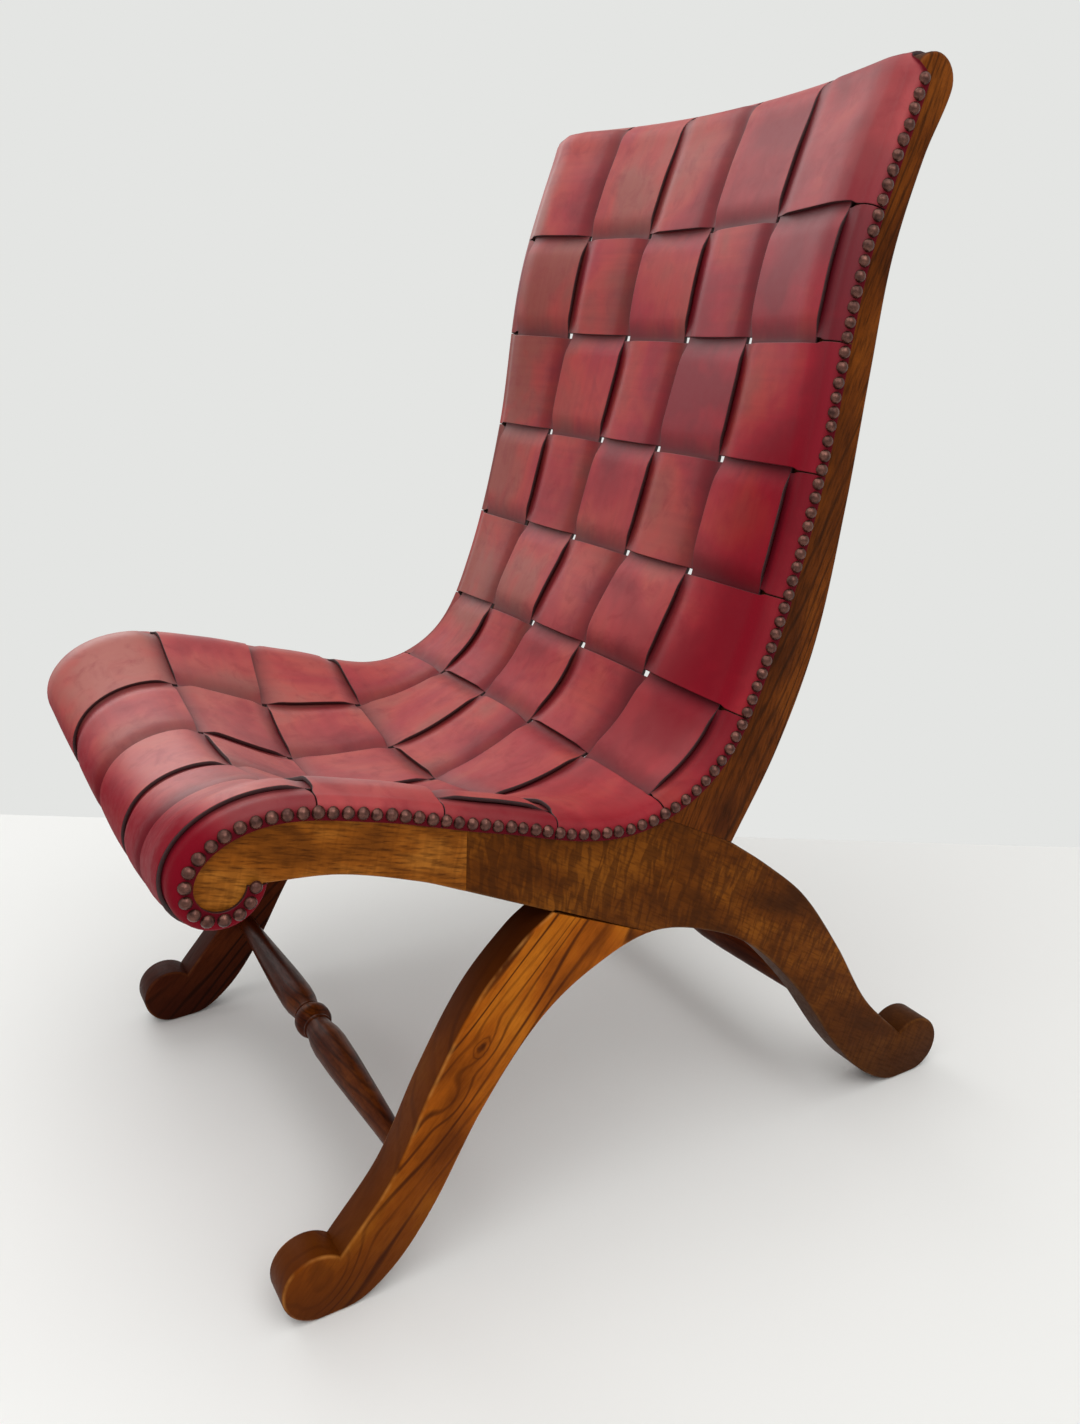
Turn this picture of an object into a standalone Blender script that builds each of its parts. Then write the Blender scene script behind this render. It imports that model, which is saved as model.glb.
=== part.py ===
# Low slipper chair in the Spanish manner: two sawn side frames, two turned stretchers, a bowed
# crest rail, a dipped front rail, and a seat and back woven from wide leather straps.
# Metres, +Z up. The sitter faces -Y and the sitter's left is +X.

import bisect
import itertools
import math

import bmesh
import bpy
from mathutils import Matrix, Vector, geometry

# Side frames
FRAME_WIDTH = 0.500       # over the outer faces of the two side frames
BOARD = 0.033             # thickness of the boards they are sawn from
EDGE_CHAMFER = 0.003      # the boards' worn edges
FIT = 0.0003              # clearance between pieces that touch

# Outlines are drawn in the (y, z) plane, with y measured from the middle of the leg arch.
NOSE_CENTRE = (0.2385, 0.850)        # round top of the back stile
NOSE_RADIUS = 0.019
BACK_KNOTS = ((0.1728, 0.7342), (0.1398, 0.5811), (0.0951, 0.4472), (0.0486, 0.3716))
SEAT_DIP = (-0.0245, 0.3450)         # lowest point of the seat line
SEAT_MIDDLE = (-0.1320, 0.3750)
SEAT_FRONT = (-0.2200, 0.4055)
SEAT_RISE = (-0.2950, 0.4215)        # highest point of the front of the seat
ROLL_CENTRE = (-0.3325, 0.3755)      # scroll at the front of the seat rail
ROLL_RADIUS = 0.0295
ROLL_END = math.radians(-13)         # where the scroll meets the rail's lower edge
STILE_BACK_KNOTS = ((0.2343, 0.8006), (0.2105, 0.7350), (0.1955, 0.6550), (0.1790, 0.5600),
                    (0.1550, 0.4550), (0.1200, 0.3720))
CROTCH = (0.0770, 0.3005)            # notch between back stile and rear leg
RAIL_UNDER_FRONT = (-0.2519, 0.3608)
RAIL_UNDER_BACK = (-0.1945, 0.3397)
ARCH_HEIGHT = 0.2417                 # underside of the arch between the legs
LEG_TOP_KNOTS = ((0.1150, 0.2695), (0.1560, 0.2300), (0.1970, 0.1680), (0.2350, 0.1005))
LEG_UNDER_KNOTS = ((0.0600, 0.2241), (0.1060, 0.1934), (0.1564, 0.1342), (0.2047, 0.0596),
                   (0.2420, 0.0180))
FOOT_REACH = 0.300                   # scroll foot's centre from the middle of the arch
FOOT_RADIUS = 0.0285
FOOT_NOTCH = math.radians(133)       # where the scroll meets the leg's upper edge
FOOT_FLAT = 0.020                    # flat that rests on the floor

# Glued butt joints of a side frame, each pinned with dowels at these shares of its length
STILE_JOINT_Y = -0.0045              # on the seat line
RAIL_JOINT_Y = -0.1555
RAIL_JOINT_UNDER = (-0.1600, 0.3225)
LEG_JOINT_FRONT = (-0.0895, 0.2855)
STILE_DOWELS = (0.45, 0.75)
RAIL_DOWELS = (0.30, 0.70)
LEG_DOWELS = (0.25, 0.50)
DOWEL_DIAMETER = 0.010
DOWEL_LENGTH = 0.044

# Cross members
STRETCHER_Y = 0.2110                 # from the middle of the arch, front and rear alike
STRETCHER_Z = 0.0915
RING_KNOTS = ((0.0170, 0.0048), (0.0156, 0.0090), (0.0125, 0.0114))    # radius, place from the middle
BELLY_KNOTS = ((0.0125, 0.0120), (0.0160, 0.0450))
STRETCHER_END = 0.0085               # radii
STRETCHER_TENON = 0.0070
CREST_RAIL_HEIGHT = 0.062            # along the back, below the nose
CREST_TENON_THICKNESS = 0.012
CREST_TENON_HEIGHT = 0.036
ROLL_TENON_RADIUS = 0.012
TENON_DEPTH = 0.018                  # into the boards
TENON_ROOT = 0.015                   # tenons start this far inside a rail
RAIL_EASE = 0.002                    # keeps the crest rail's lower edge off the straps

# Leather straps
STRAP = 0.003                        # thickness
STRAP_SPACE = 0.004                  # open space between neighbouring straps
WEAVE_GAP = 0.0004                   # between straps where they cross
COLUMNS = 5
ROWS = 10
EDGE_STRIP = 0.015                   # of each board, outside the outer long straps that lap it
CREST_LAP = 0.012                    # top strap's reach over the nose
FIRST_ROW = 0.0935                   # from the nose to the first row's lower edge
LAST_ROW = 0.2075                    # roll strap, round the scroll
SIDE_LAP = 0.0115                    # strap ends folded down the outer faces
FOLD = 0.0021                        # corner of that fold
REAR_TURN_DOWN = 0.035               # long straps behind the crest rail

# How the middle of the leather hangs from the boards' edge: at these lengths from the nose, so far
# backwards and so far up
SAG_AT = (0.0935, 0.1880, 0.2825, 0.3770, 0.4715, 0.5660, 0.6605, 0.7550, 0.8495, 0.9000, 0.9500)
SAG_BACK = (0.0182, 0.0176, 0.0052, -0.0014, -0.0139, -0.0020, -0.0110, -0.0210, -0.0060, 0.0030, 0.0090)
SAG_UP = (-0.0072, -0.0038, -0.0013, 0.0005, 0.0099, 0.0062, -0.0384, -0.0604, -0.0475, -0.0465, -0.0450)

# Facets
FACET_TURN = math.radians(17)        # largest turn from one facet of the leather to the next
SHARP = math.radians(35)
FINE = 24                            # steps of a guide line
PROBE = 0.004                        # for the direction of a guide line
DOWEL_SIDES = 10
TENON_SIDES = 16

INNER = FRAME_WIDTH / 2 - BOARD      # from the middle to a frame's inner face
OUTER = FRAME_WIDTH / 2
FRAME_X = (INNER + OUTER) / 2
WEAVE_WIDTH = FRAME_WIDTH - 2 * EDGE_STRIP     # over the outer long straps
UNDER = FIT                          # heights of a strap's underside over the boards' edge
OVER = FIT + STRAP + WEAVE_GAP
REAR_REACH = FOOT_REACH + FOOT_RADIUS
FRONT_REACH = ROLL_CENTRE[0] - ROLL_RADIUS - OVER - STRAP
SHIFT = -(REAR_REACH + FRONT_REACH) / 2        # puts the origin under the middle of the chair

WALNUT = ((0.085, 0.030, 0.010, 1.0), 0.42)
OAK = ((0.230, 0.085, 0.020, 1.0), 0.40)
BEECH = ((0.420, 0.260, 0.130, 1.0), 0.60)
RED_LEATHER = ((0.300, 0.028, 0.030, 1.0), 0.48)


def material(name, look):
    """A plain Principled material."""
    made = bpy.data.materials.new(name)
    made.use_nodes = True
    shader = made.node_tree.nodes["Principled BSDF"]
    shader.inputs["Base Color"].default_value = look[0]
    shader.inputs["Roughness"].default_value = look[1]
    shader.inputs["Metallic"].default_value = 0.0
    return made


def collection(name):
    made = bpy.data.collections.new(name)
    bpy.context.scene.collection.children.link(made)
    return made


def smooth(knots, steps, start=None, end=None):
    """Points of a smooth curve through the knots; start and end are its end directions."""
    knots = [Vector(knot) for knot in knots]
    ways = [(after - before).normalized() for before, after in zip(knots, knots[2:])]
    ways.insert(0, start or (knots[1] - knots[0]).normalized())
    ways.append(end or (knots[-1] - knots[-2]).normalized())
    line = [knots[0]]
    for a, b, way_a, way_b in zip(knots, knots[1:], ways, ways[1:]):
        reach = (b - a).length / 3
        line += geometry.interpolate_bezier(a, a + way_a * reach, b - way_b * reach, b, steps + 1)[1:]
    return line


def arc(centre, wide, start, end, steps, tall=None):
    """Points of an arc from one angle to another; tall makes it part of an ellipse."""
    tall = tall or wide
    turns = [start + (end - start) * step / steps for step in range(steps + 1)]
    return [Vector((centre[0] + wide * math.cos(turn), centre[1] + tall * math.sin(turn))) for turn in turns]


def across(way):
    """The direction to the sitter's side of a line that runs from the crest to the roll."""
    return Vector((way[1], -way[0]))


class SeatLine:
    """The line that the leather follows, from behind the crest to the end of the front scroll.

    Lengths along it start at the front of the nose and grow towards the scroll.
    """

    def __init__(self):
        reach = Vector(BACK_KNOTS[0]) - Vector(NOSE_CENTRE)
        self.down = Matrix.Rotation(math.asin(NOSE_RADIUS / reach.length), 2) @ reach.normalized()
        front = math.atan2(*reversed(across(self.down)))
        nose = arc(NOSE_CENTRE, NOSE_RADIUS, front - math.pi, front, FINE)
        turn_down = nose[0] + self.down * REAR_TURN_DOWN
        seat = smooth((nose[-1], *BACK_KNOTS, SEAT_DIP, SEAT_MIDDLE, SEAT_FRONT, SEAT_RISE), FINE,
                      start=self.down, end=Vector((-1, 0)))
        bow = arc((SEAT_RISE[0], ROLL_CENTRE[1]), SEAT_RISE[0] - ROLL_CENTRE[0] + ROLL_RADIUS, math.pi / 2,
                  math.pi, FINE, tall=SEAT_RISE[1] - ROLL_CENTRE[1])
        scroll = arc(ROLL_CENTRE, ROLL_RADIUS, math.pi, 2 * math.pi + ROLL_END, FINE)
        self.points = [turn_down, *nose, *seat[1:], *bow[1:], *scroll[1:]]
        steps = [(b - a).length for a, b in zip(self.points, self.points[1:])]
        lengths = [0.0, *itertools.accumulate(steps)]
        self.lengths = [length - lengths[len(nose)] for length in lengths]
        self.start, self.nose_start = self.lengths[:2]
        self.end = self.lengths[-1]
        self.sag = smooth(zip(SAG_AT, SAG_BACK, SAG_UP), FINE)

    def at(self, length):
        """The point at this length and the direction of the line there."""
        index = min(max(bisect.bisect_left(self.lengths, length), 1), len(self.lengths) - 1)
        a, b = self.points[index - 1], self.points[index]
        share = (length - self.lengths[index - 1]) / (self.lengths[index] - self.lengths[index - 1])
        before = self.points[max(index - 2, 0)]
        after = self.points[min(index + 1, len(self.points) - 1)]
        way_a = (b - before).normalized()
        way_b = (after - a).normalized()
        return a.lerp(b, share), way_a.lerp(way_b, share).normalized()

    def hang(self, x, length):
        """How far the leather hangs from the boards' edge here: most in the middle, nothing on the boards."""
        share = max(0.0, 1 - (x / INNER) ** 2)
        index = bisect.bisect_left(self.sag, length, key=lambda knot: knot[0])
        if index in (0, len(self.sag)):
            knot = self.sag[max(index - 1, 0)]
        else:
            a, b = self.sag[index - 1], self.sag[index]
            knot = a.lerp(b, (length - a[0]) / (b[0] - a[0]))
        return Vector((knot[1], knot[2])) * share

    def leather(self, x, length, height=0.0):
        """The point of the leather at this x and length, this far out on the sitter's side."""
        point, way = self.at(length)
        y, z = point + across(way) * height + self.hang(x, length)
        return (x, y + SHIFT, z)

    def length_at(self, y):
        """The length where the line, past the nose, first reaches this y."""
        for a, b, length in zip(self.points, self.points[1:], self.lengths[1:]):
            if length > 0 and b[0] <= y <= a[0]:
                return length - (b - a).length * (y - b[0]) / (a[0] - b[0])
        raise ValueError("the seat line doesn't reach y = %.4f" % y)

    def turns(self, x, probes):
        """The leather's turn from each of these lengths to the next."""
        ways = []
        for probe in probes:
            a, b = (self.at(place)[0] + self.hang(x, place) for place in (probe - PROBE, probe + PROBE))
            ways.append(b - a)
        return [a.angle(b) for a, b in zip(ways, ways[1:])]

    def stations(self, start, end):
        """Lengths from start to end, close enough together for the leather's turns."""
        count = 2 * FINE
        probes = [start + (end - start) * step / count for step in range(count + 1)]
        on_board, in_middle = self.turns(OUTER, probes), self.turns(0, probes)
        steps = [max(pair) + FACET_TURN / count for pair in zip(on_board, in_middle)]
        turned = [0.0, *itertools.accumulate(steps)]
        parts = max(2, math.ceil(turned[-1] / FACET_TURN))
        found = [start]
        for part in range(1, parts):
            wanted = turned[-1] * part / parts
            index = bisect.bisect_left(turned, wanted)
            share = (wanted - turned[index - 1]) / (turned[index] - turned[index - 1])
            found.append(probes[index - 1] + (probes[index] - probes[index - 1]) * share)
        return [*found, end]


def rows_of(line):
    """Start and end of each cross strap along the seat line."""
    pitch = (line.end - LAST_ROW - FIRST_ROW) / (ROWS - 2)
    edges = [FIRST_ROW + pitch * i for i in range(ROWS - 1)]
    starts = [-CREST_LAP] + [edge + STRAP_SPACE / 2 for edge in edges]
    ends = [edge - STRAP_SPACE / 2 for edge in edges] + [line.end]
    return list(zip(starts, ends))


def columns_of():
    """The x of each long strap's two edges, and of a board's edge where the strap bends over it."""
    pitch = WEAVE_WIDTH / COLUMNS
    found = []
    for column in range(COLUMNS):
        left = -WEAVE_WIDTH / 2 + pitch * column + STRAP_SPACE / 2
        right = left + pitch - STRAP_SPACE
        bends = [x for x in (-INNER, INNER) if left < x < right]
        found.append([left, *bends, right])
    return found


def long_strap_on_top(row, column):
    """Over and under alternate; the outer columns lie over the roll."""
    return (row + column) % 2 == 1


def solid(name, shape, home, look):
    """A new object of this shape, with its own material."""
    bmesh.ops.recalc_face_normals(shape, faces=shape.faces)
    mesh = bpy.data.meshes.new(name)
    shape.to_mesh(mesh)
    shape.free()
    mesh.shade_smooth()
    mesh.set_sharp_from_angle(angle=SHARP)
    mesh.materials.append(material(name, look))
    made = bpy.data.objects.new(name, mesh)
    home.objects.link(made)
    return made


def bar(name, outlines, home, look, split=False):
    """A solid through these closed outlines; split halves its side faces along one diagonal."""
    shape = bmesh.new()
    rings = [[shape.verts.new(point) for point in outline] for outline in outlines]
    sides = []
    for near, far in zip(rings, rings[1:]):
        for i in range(len(near)):
            sides.append(shape.faces.new((near[i - 1], near[i], far[i], far[i - 1])))
    if split:
        bmesh.ops.triangulate(shape, faces=sides, quad_method="FIXED")
    for ring in (rings[0], rings[-1]):
        shape.faces.new(ring)
    return solid(name, shape, home, look)


def prism(name, outline, x, width, home, look):
    """A (y, z) outline as thick as width, centred on this x."""
    ends = [[(x + side * width / 2, y + SHIFT, z) for y, z in outline] for side in (-1, 1)]
    return bar(name, ends, home, look)


def rod(name, radius, length, middle, way, sides, home, look):
    """A round rod about its middle, along this direction."""
    shape = bmesh.new()
    turn = Vector(way).to_track_quat("Z", "Y").to_matrix().to_4x4()
    bmesh.ops.create_cone(shape, cap_ends=True, segments=sides, radius1=radius, radius2=radius,
                          depth=length, matrix=Matrix.Translation(middle) @ turn)
    return solid(name, shape, home, look)


def combine(board, helper, operation):
    """Cuts a helper out of a board, or joins it to the board."""
    helper.hide_render = True
    helper.display_type = "WIRE"
    boolean = board.modifiers.new(helper.name, "BOOLEAN")
    boolean.operation = operation
    boolean.solver = "EXACT"
    boolean.object = helper


def on_joint(point, joint):
    """Whether this point lies on the joint's line, within the clearance."""
    a, b = joint
    along = (b - a).normalized()
    place = (point - a).dot(along)
    aside = abs((point - a).dot(across(along)))
    return -FIT < place < (b - a).length + FIT and aside < FIT


def chamfer_free_edges(board, joints):
    """Chamfers the long edges of a board, but not along its glued joints."""
    mesh = board.data
    weights = mesh.attributes.new("bevel_weight_edge", "FLOAT", "EDGE")
    faces_of = {}
    for face in mesh.polygons:
        for key in face.edge_keys:
            faces_of.setdefault(key, []).append(face)
    for edge in mesh.edges:
        flat = [abs(face.normal.x) > 0.5 for face in faces_of[edge.key]]
        ends = [mesh.vertices[i].co for i in edge.vertices]
        middle = (ends[0] + ends[1]) / 2
        glued = any(on_joint(Vector((middle.y - SHIFT, middle.z)), joint) for joint in joints)
        weights.data[edge.index].value = float(sum(flat) == 1 and not glued)
    bevel = board.modifiers.new("worn edges", "BEVEL")
    bevel.limit_method = "WEIGHT"
    bevel.offset_type = "OFFSET"
    bevel.width = EDGE_CHAMFER
    bevel.segments = 1


def parted(joint, side):
    """The joint's two ends, moved half the clearance to one side."""
    a, b = joint
    aside = across((b - a).normalized()) * FIT / 2 * side
    return [a + aside, b + aside]


def leg_edges(front, top_start):
    """Upper edge, foot and underside of a leg, from its top round to the arch."""
    side = -1 if front else 1
    scroll = arc((FOOT_REACH, FOOT_RADIUS), FOOT_RADIUS, FOOT_NOTCH, -math.pi / 2, 14)
    upper = smooth((top_start, *LEG_TOP_KNOTS, scroll[0]), 4)
    heel = (FOOT_REACH - FOOT_FLAT, 0.0)
    under = smooth((heel, *reversed(LEG_UNDER_KNOTS), (0.0, ARCH_HEIGHT)), 3, start=Vector((-1, 0)),
                   end=Vector((-1, 0)))
    return [Vector((side * y, z)) for y, z in upper + scroll[1:] + under]


def seat_edge(line, start, end, marks):
    """Points of the seat line from start to end, at the straps' own stations."""
    between = [mark for mark in marks if start + FIT < mark < end - FIT]
    return [line.at(length)[0] for length in [start, *between, end]]


def side_frame(side, x, line, marks, chair, cutters):
    """The four boards of one side frame and the dowels that pin them."""
    stile_at = line.length_at(STILE_JOINT_Y)
    rail_at = line.length_at(RAIL_JOINT_Y)
    stile_joint = (line.at(stile_at)[0], Vector(CROTCH))
    rail_joint = (line.at(rail_at)[0], Vector(RAIL_JOINT_UNDER))
    leg_joint = (Vector(LEG_JOINT_FRONT), Vector((0, ARCH_HEIGHT)))

    rail_top, rail_foot = parted(rail_joint, 1)
    under = smooth((line.points[-1], RAIL_UNDER_FRONT, RAIL_UNDER_BACK, rail_foot), 4)
    edge = seat_edge(line, rail_at, line.end, marks)
    rail = prism(side + "_seat_rail", [rail_top, *edge[1:], *under[1:]], x, BOARD, chair, OAK)

    stile_seat, stile_crotch = parted(stile_joint, 1)
    block_top, block_foot = parted(rail_joint, -1)
    leg_front, leg_arch = parted(leg_joint, -1)
    edge = seat_edge(line, stile_at, rail_at, marks)
    block = [stile_seat, *edge[1:-1], block_top, block_foot, leg_front, leg_arch]
    block += reversed(leg_edges(False, stile_crotch)[:-1])
    block = prism(side + "_rear_leg", block, x, BOARD, chair, WALNUT)

    seat_end, crotch = parted(stile_joint, -1)
    back = smooth((line.points[1], *STILE_BACK_KNOTS, crotch), 3, start=line.down)
    edge = seat_edge(line, line.nose_start, stile_at, marks)
    stile = [*reversed(back[1:]), *edge[:-1], seat_end]
    stile = prism(side + "_back_stile", stile, x, BOARD, chair, WALNUT)

    leg_front, leg_arch = parted(leg_joint, 1)
    leg = leg_edges(True, (-leg_front[0], leg_front[1]))
    leg = prism(side + "_front_leg", [*leg[:-1], leg_arch], x, BOARD, chair, OAK)

    for board in (rail, block, stile, leg):
        chamfer_free_edges(board, (stile_joint, rail_joint, leg_joint))
    pinned = (("stile", stile_joint, STILE_DOWELS, (stile, block)),
              ("rail", rail_joint, RAIL_DOWELS, (rail, block)),
              ("leg", leg_joint, LEG_DOWELS, (leg, block)))
    for joint_name, (a, b), shares, boards in pinned:
        way = (0, *across((b - a).normalized()))
        for number, share in enumerate(shares, 1):
            place = a.lerp(b, share)
            middle = (x, place[0] + SHIFT, place[1])
            name = "%s_%s_dowel_%d" % (side, joint_name, number)
            rod(name, DOWEL_DIAMETER / 2, DOWEL_LENGTH, middle, way, DOWEL_SIDES, chair, BEECH)
            hole = rod(name + "_hole", DOWEL_DIAMETER / 2 + FIT, DOWEL_LENGTH + 2 * FIT, middle, way,
                       DOWEL_SIDES, cutters, BEECH)
            for board in boards:
                combine(board, hole, "DIFFERENCE")
    return {"rail": rail, "block": block, "stile": stile, "leg": leg}


def mortise(name, board, sign, shape):
    """Cuts a mortise into a board's inner face; shape makes the cutter."""
    x = sign * (INNER + TENON_DEPTH / 2)
    combine(board, shape("%s_mortise_%+d" % (name, sign), FIT, x, TENON_DEPTH + 2 * FIT), "DIFFERENCE")


def tenoned(rail, frames, board, shape):
    """Gives a rail a tenon at each end, and the boards their mortises."""
    width = TENON_ROOT + TENON_DEPTH - FIT
    for sign, frame in frames.items():
        x = sign * (INNER - TENON_ROOT + width / 2)
        combine(rail, shape("%s_tenon_%+d" % (rail.name, sign), 0, x, width), "UNION")
        mortise(rail.name, frame[board], sign, shape)


def stretcher(name, y, frames, board, chair, cutters):
    """A turned stretcher with a ring in its middle, tenoned into the legs."""
    shoulder = INNER - FIT
    tip = INNER + TENON_DEPTH - FIT
    belly = smooth((*BELLY_KNOTS, (STRETCHER_END, shoulder)), 5)
    half = [*RING_KNOTS, *belly[1:], (STRETCHER_TENON, shoulder), (STRETCHER_TENON, tip), (0.0, tip)]
    profile = [*reversed(half), *[(radius, -place) for radius, place in half]]
    mesh = bpy.data.meshes.new(name)
    edges = [(i, i + 1) for i in range(len(profile) - 1)]
    mesh.from_pydata([(radius, 0, place) for radius, place in profile], edges, [])
    mesh.materials.append(material(name, WALNUT))
    made = bpy.data.objects.new(name, mesh)
    chair.objects.link(made)
    made.location = (0, y + SHIFT, STRETCHER_Z)
    made.rotation_euler = (0, math.pi / 2, 0)
    screw = made.modifiers.new("turning", "SCREW")
    screw.steps = screw.render_steps = TENON_SIDES
    screw.use_merge_vertices = True
    screw.merge_threshold = 0.00001
    screw.use_smooth_shade = True

    def peg(label, grow, x, width):
        return rod(label, STRETCHER_TENON + grow, width, (x, y + SHIFT, STRETCHER_Z), (1, 0, 0), TENON_SIDES,
                   cutters, BEECH)

    for sign, frame in frames.items():
        mortise(name, frame[board], sign, peg)


def rail_places(columns):
    """The x of a rail's ends and of the straps' edges between them."""
    end = INNER - FIT
    return [-end, *[x for edges in columns for x in edges if abs(x) < end], end]


def crest_rail(line, marks, columns, frames, chair, cutters):
    """The bowed rail that the long straps turn over, with a flat tenon in each stile."""
    stops = [mark for mark in marks if mark < CREST_RAIL_HEIGHT]
    outlines = []
    for x in rail_places(columns):
        front = [line.leather(x, stop) for stop in stops]
        front.append(line.leather(x, CREST_RAIL_HEIGHT, -RAIL_EASE))
        back = line.points[1] + line.down * CREST_RAIL_HEIGHT + line.hang(x, line.nose_start)
        outlines.append([(x, back[0] + SHIFT, back[1]), *front])
    rail = bar("crest_rail", outlines, chair, BEECH, split=True)
    middle = Vector(NOSE_CENTRE) + line.down * CREST_RAIL_HEIGHT / 2

    def tongue(label, grow, x, width):
        thick = across(line.down) * (CREST_TENON_THICKNESS / 2 + grow)
        tall = line.down * (CREST_TENON_HEIGHT / 2 + grow)
        outline = [middle + thick + tall, middle + thick - tall, middle - thick - tall, middle - thick + tall]
        return prism(label, outline, x, width, cutters, BEECH)

    tenoned(rail, frames, "stile", tongue)


def roll_rail(line, row, columns, frames, chair, cutters):
    """The dipped rail inside the front roll, with a round tenon in each scroll."""
    stops = line.stations(*row)
    outlines = [[line.leather(x, stop) for stop in stops] for x in rail_places(columns)]
    rail = bar("front_roll_rail", outlines, chair, BEECH, split=True)

    def peg(label, grow, x, width):
        middle = (x, ROLL_CENTRE[0] + SHIFT, ROLL_CENTRE[1])
        return rod(label, ROLL_TENON_RADIUS + grow, width, middle, (1, 0, 0), TENON_SIDES, cutters, BEECH)

    tenoned(rail, frames, "rail", peg)


def strap(name, sections, chair):
    """A strap through these sections, each a list of (lower, upper) pairs of points.

    Every face is halved along the same diagonal, so that straps that cross stay parallel.
    """
    shape = bmesh.new()
    rings = [[(shape.verts.new(low), shape.verts.new(up)) for low, up in section] for section in sections]
    faces = []
    for near, far in zip(rings, rings[1:]):
        for level in (0, 1):
            for a, b, c, d in zip(near, near[1:], far[1:], far):
                faces.append(shape.faces.new((a[level], b[level], c[level], d[level])))
        for edge in (0, -1):
            faces.append(shape.faces.new((*near[edge], *reversed(far[edge]))))
    for ring in (rings[0], rings[-1]):
        for a, b in zip(ring, ring[1:]):
            faces.append(shape.faces.new((*a, *reversed(b))))
    bmesh.ops.triangulate(shape, faces=faces, quad_method="FIXED")
    return solid(name, shape, chair, RED_LEATHER)


def long_strap(column, edges, line, rows, chair):
    """A strap from behind the crest, down the back, over the seat and round the roll."""
    behind = [*line.stations(line.start, line.nose_start)[:-1],
              *line.stations(line.nose_start, rows[0][0] - STRAP_SPACE)]
    course = [(length, UNDER) for length in behind]
    for row, (start, end) in enumerate(rows, 1):
        low = OVER if long_strap_on_top(row, column) else UNDER
        course += [(length, low) for length in line.stations(start, end)]
    sections = [[(line.leather(x, length, low), line.leather(x, length, low + STRAP)) for x in edges]
                for length, low in course]
    strap("long_strap_%d" % column, sections, chair)


def cross_strap(row, start, end, line, columns, chair):
    """A strap across the chair, its ends folded down the outer faces of the frames."""
    face = OUTER + FIT
    clear = columns[-1][-1] + STRAP_SPACE
    margin = sorted({clear, max(clear, INNER), OUTER})
    end_fold = [*[(x, UNDER, x, UNDER + STRAP) for x in margin],
                (face, UNDER, face + FOLD, UNDER + FOLD),
                (face, 0, face + STRAP, 0),
                (face, -SIDE_LAP, face + STRAP, -SIDE_LAP)]
    course = [(-low_x, low, -up_x, up) for low_x, low, up_x, up in reversed(end_fold)]
    for column, edges in enumerate(columns, 1):
        low = UNDER if long_strap_on_top(row, column) else OVER
        course += [(x, low, x, low + STRAP) for x in edges]
    course += end_fold
    stops = line.stations(start, end)
    sections = [[(line.leather(low_x, stop, low), line.leather(up_x, stop, up)) for stop in stops]
                for low_x, low, up_x, up in course]
    strap("cross_strap_%02d" % row, sections, chair)


def main():
    for old in list(bpy.data.objects):
        bpy.data.objects.remove(old)
    chair = collection("slipper_chair")
    cutters = collection("cutters")
    line = SeatLine()
    rows = rows_of(line)
    columns = columns_of()
    marks = line.stations(line.nose_start, rows[0][0] - STRAP_SPACE)
    marks += [mark for row in rows for mark in line.stations(*row)]
    frames = {1: side_frame("left", FRAME_X, line, marks, chair, cutters),
              -1: side_frame("right", -FRAME_X, line, marks, chair, cutters)}
    stretcher("front_stretcher", -STRETCHER_Y, frames, "leg", chair, cutters)
    stretcher("rear_stretcher", STRETCHER_Y, frames, "block", chair, cutters)
    crest_rail(line, marks, columns, frames, chair, cutters)
    roll_rail(line, rows[-1], columns, frames, chair, cutters)
    for column, edges in enumerate(columns, 1):
        long_strap(column, edges, line, rows, chair)
    for row, (start, end) in enumerate(rows, 1):
        cross_strap(row, start, end, line, columns, chair)


main()
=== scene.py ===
# Looks of a low slipper chair in the Spanish manner: waxed wooden side frames, a seat and back
# woven from red saddle leather, and close rows of bronze dome nails.

import bisect
import functools
import math
import random

import bpy
from mathutils import Matrix, Vector, geometry


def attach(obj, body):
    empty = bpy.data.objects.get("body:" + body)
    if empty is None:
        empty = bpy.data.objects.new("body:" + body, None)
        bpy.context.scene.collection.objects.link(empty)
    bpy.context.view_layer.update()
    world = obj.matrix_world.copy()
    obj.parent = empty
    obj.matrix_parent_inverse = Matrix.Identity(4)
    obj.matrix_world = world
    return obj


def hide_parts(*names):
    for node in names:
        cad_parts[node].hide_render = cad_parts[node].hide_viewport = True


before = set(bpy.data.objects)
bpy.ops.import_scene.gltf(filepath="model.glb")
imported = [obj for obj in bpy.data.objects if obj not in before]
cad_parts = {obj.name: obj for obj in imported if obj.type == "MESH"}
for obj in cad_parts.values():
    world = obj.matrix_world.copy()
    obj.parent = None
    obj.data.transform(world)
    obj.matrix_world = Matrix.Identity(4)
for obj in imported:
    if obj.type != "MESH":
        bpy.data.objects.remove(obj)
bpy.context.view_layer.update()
print("frame: %d solids" % len(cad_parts))

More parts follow.
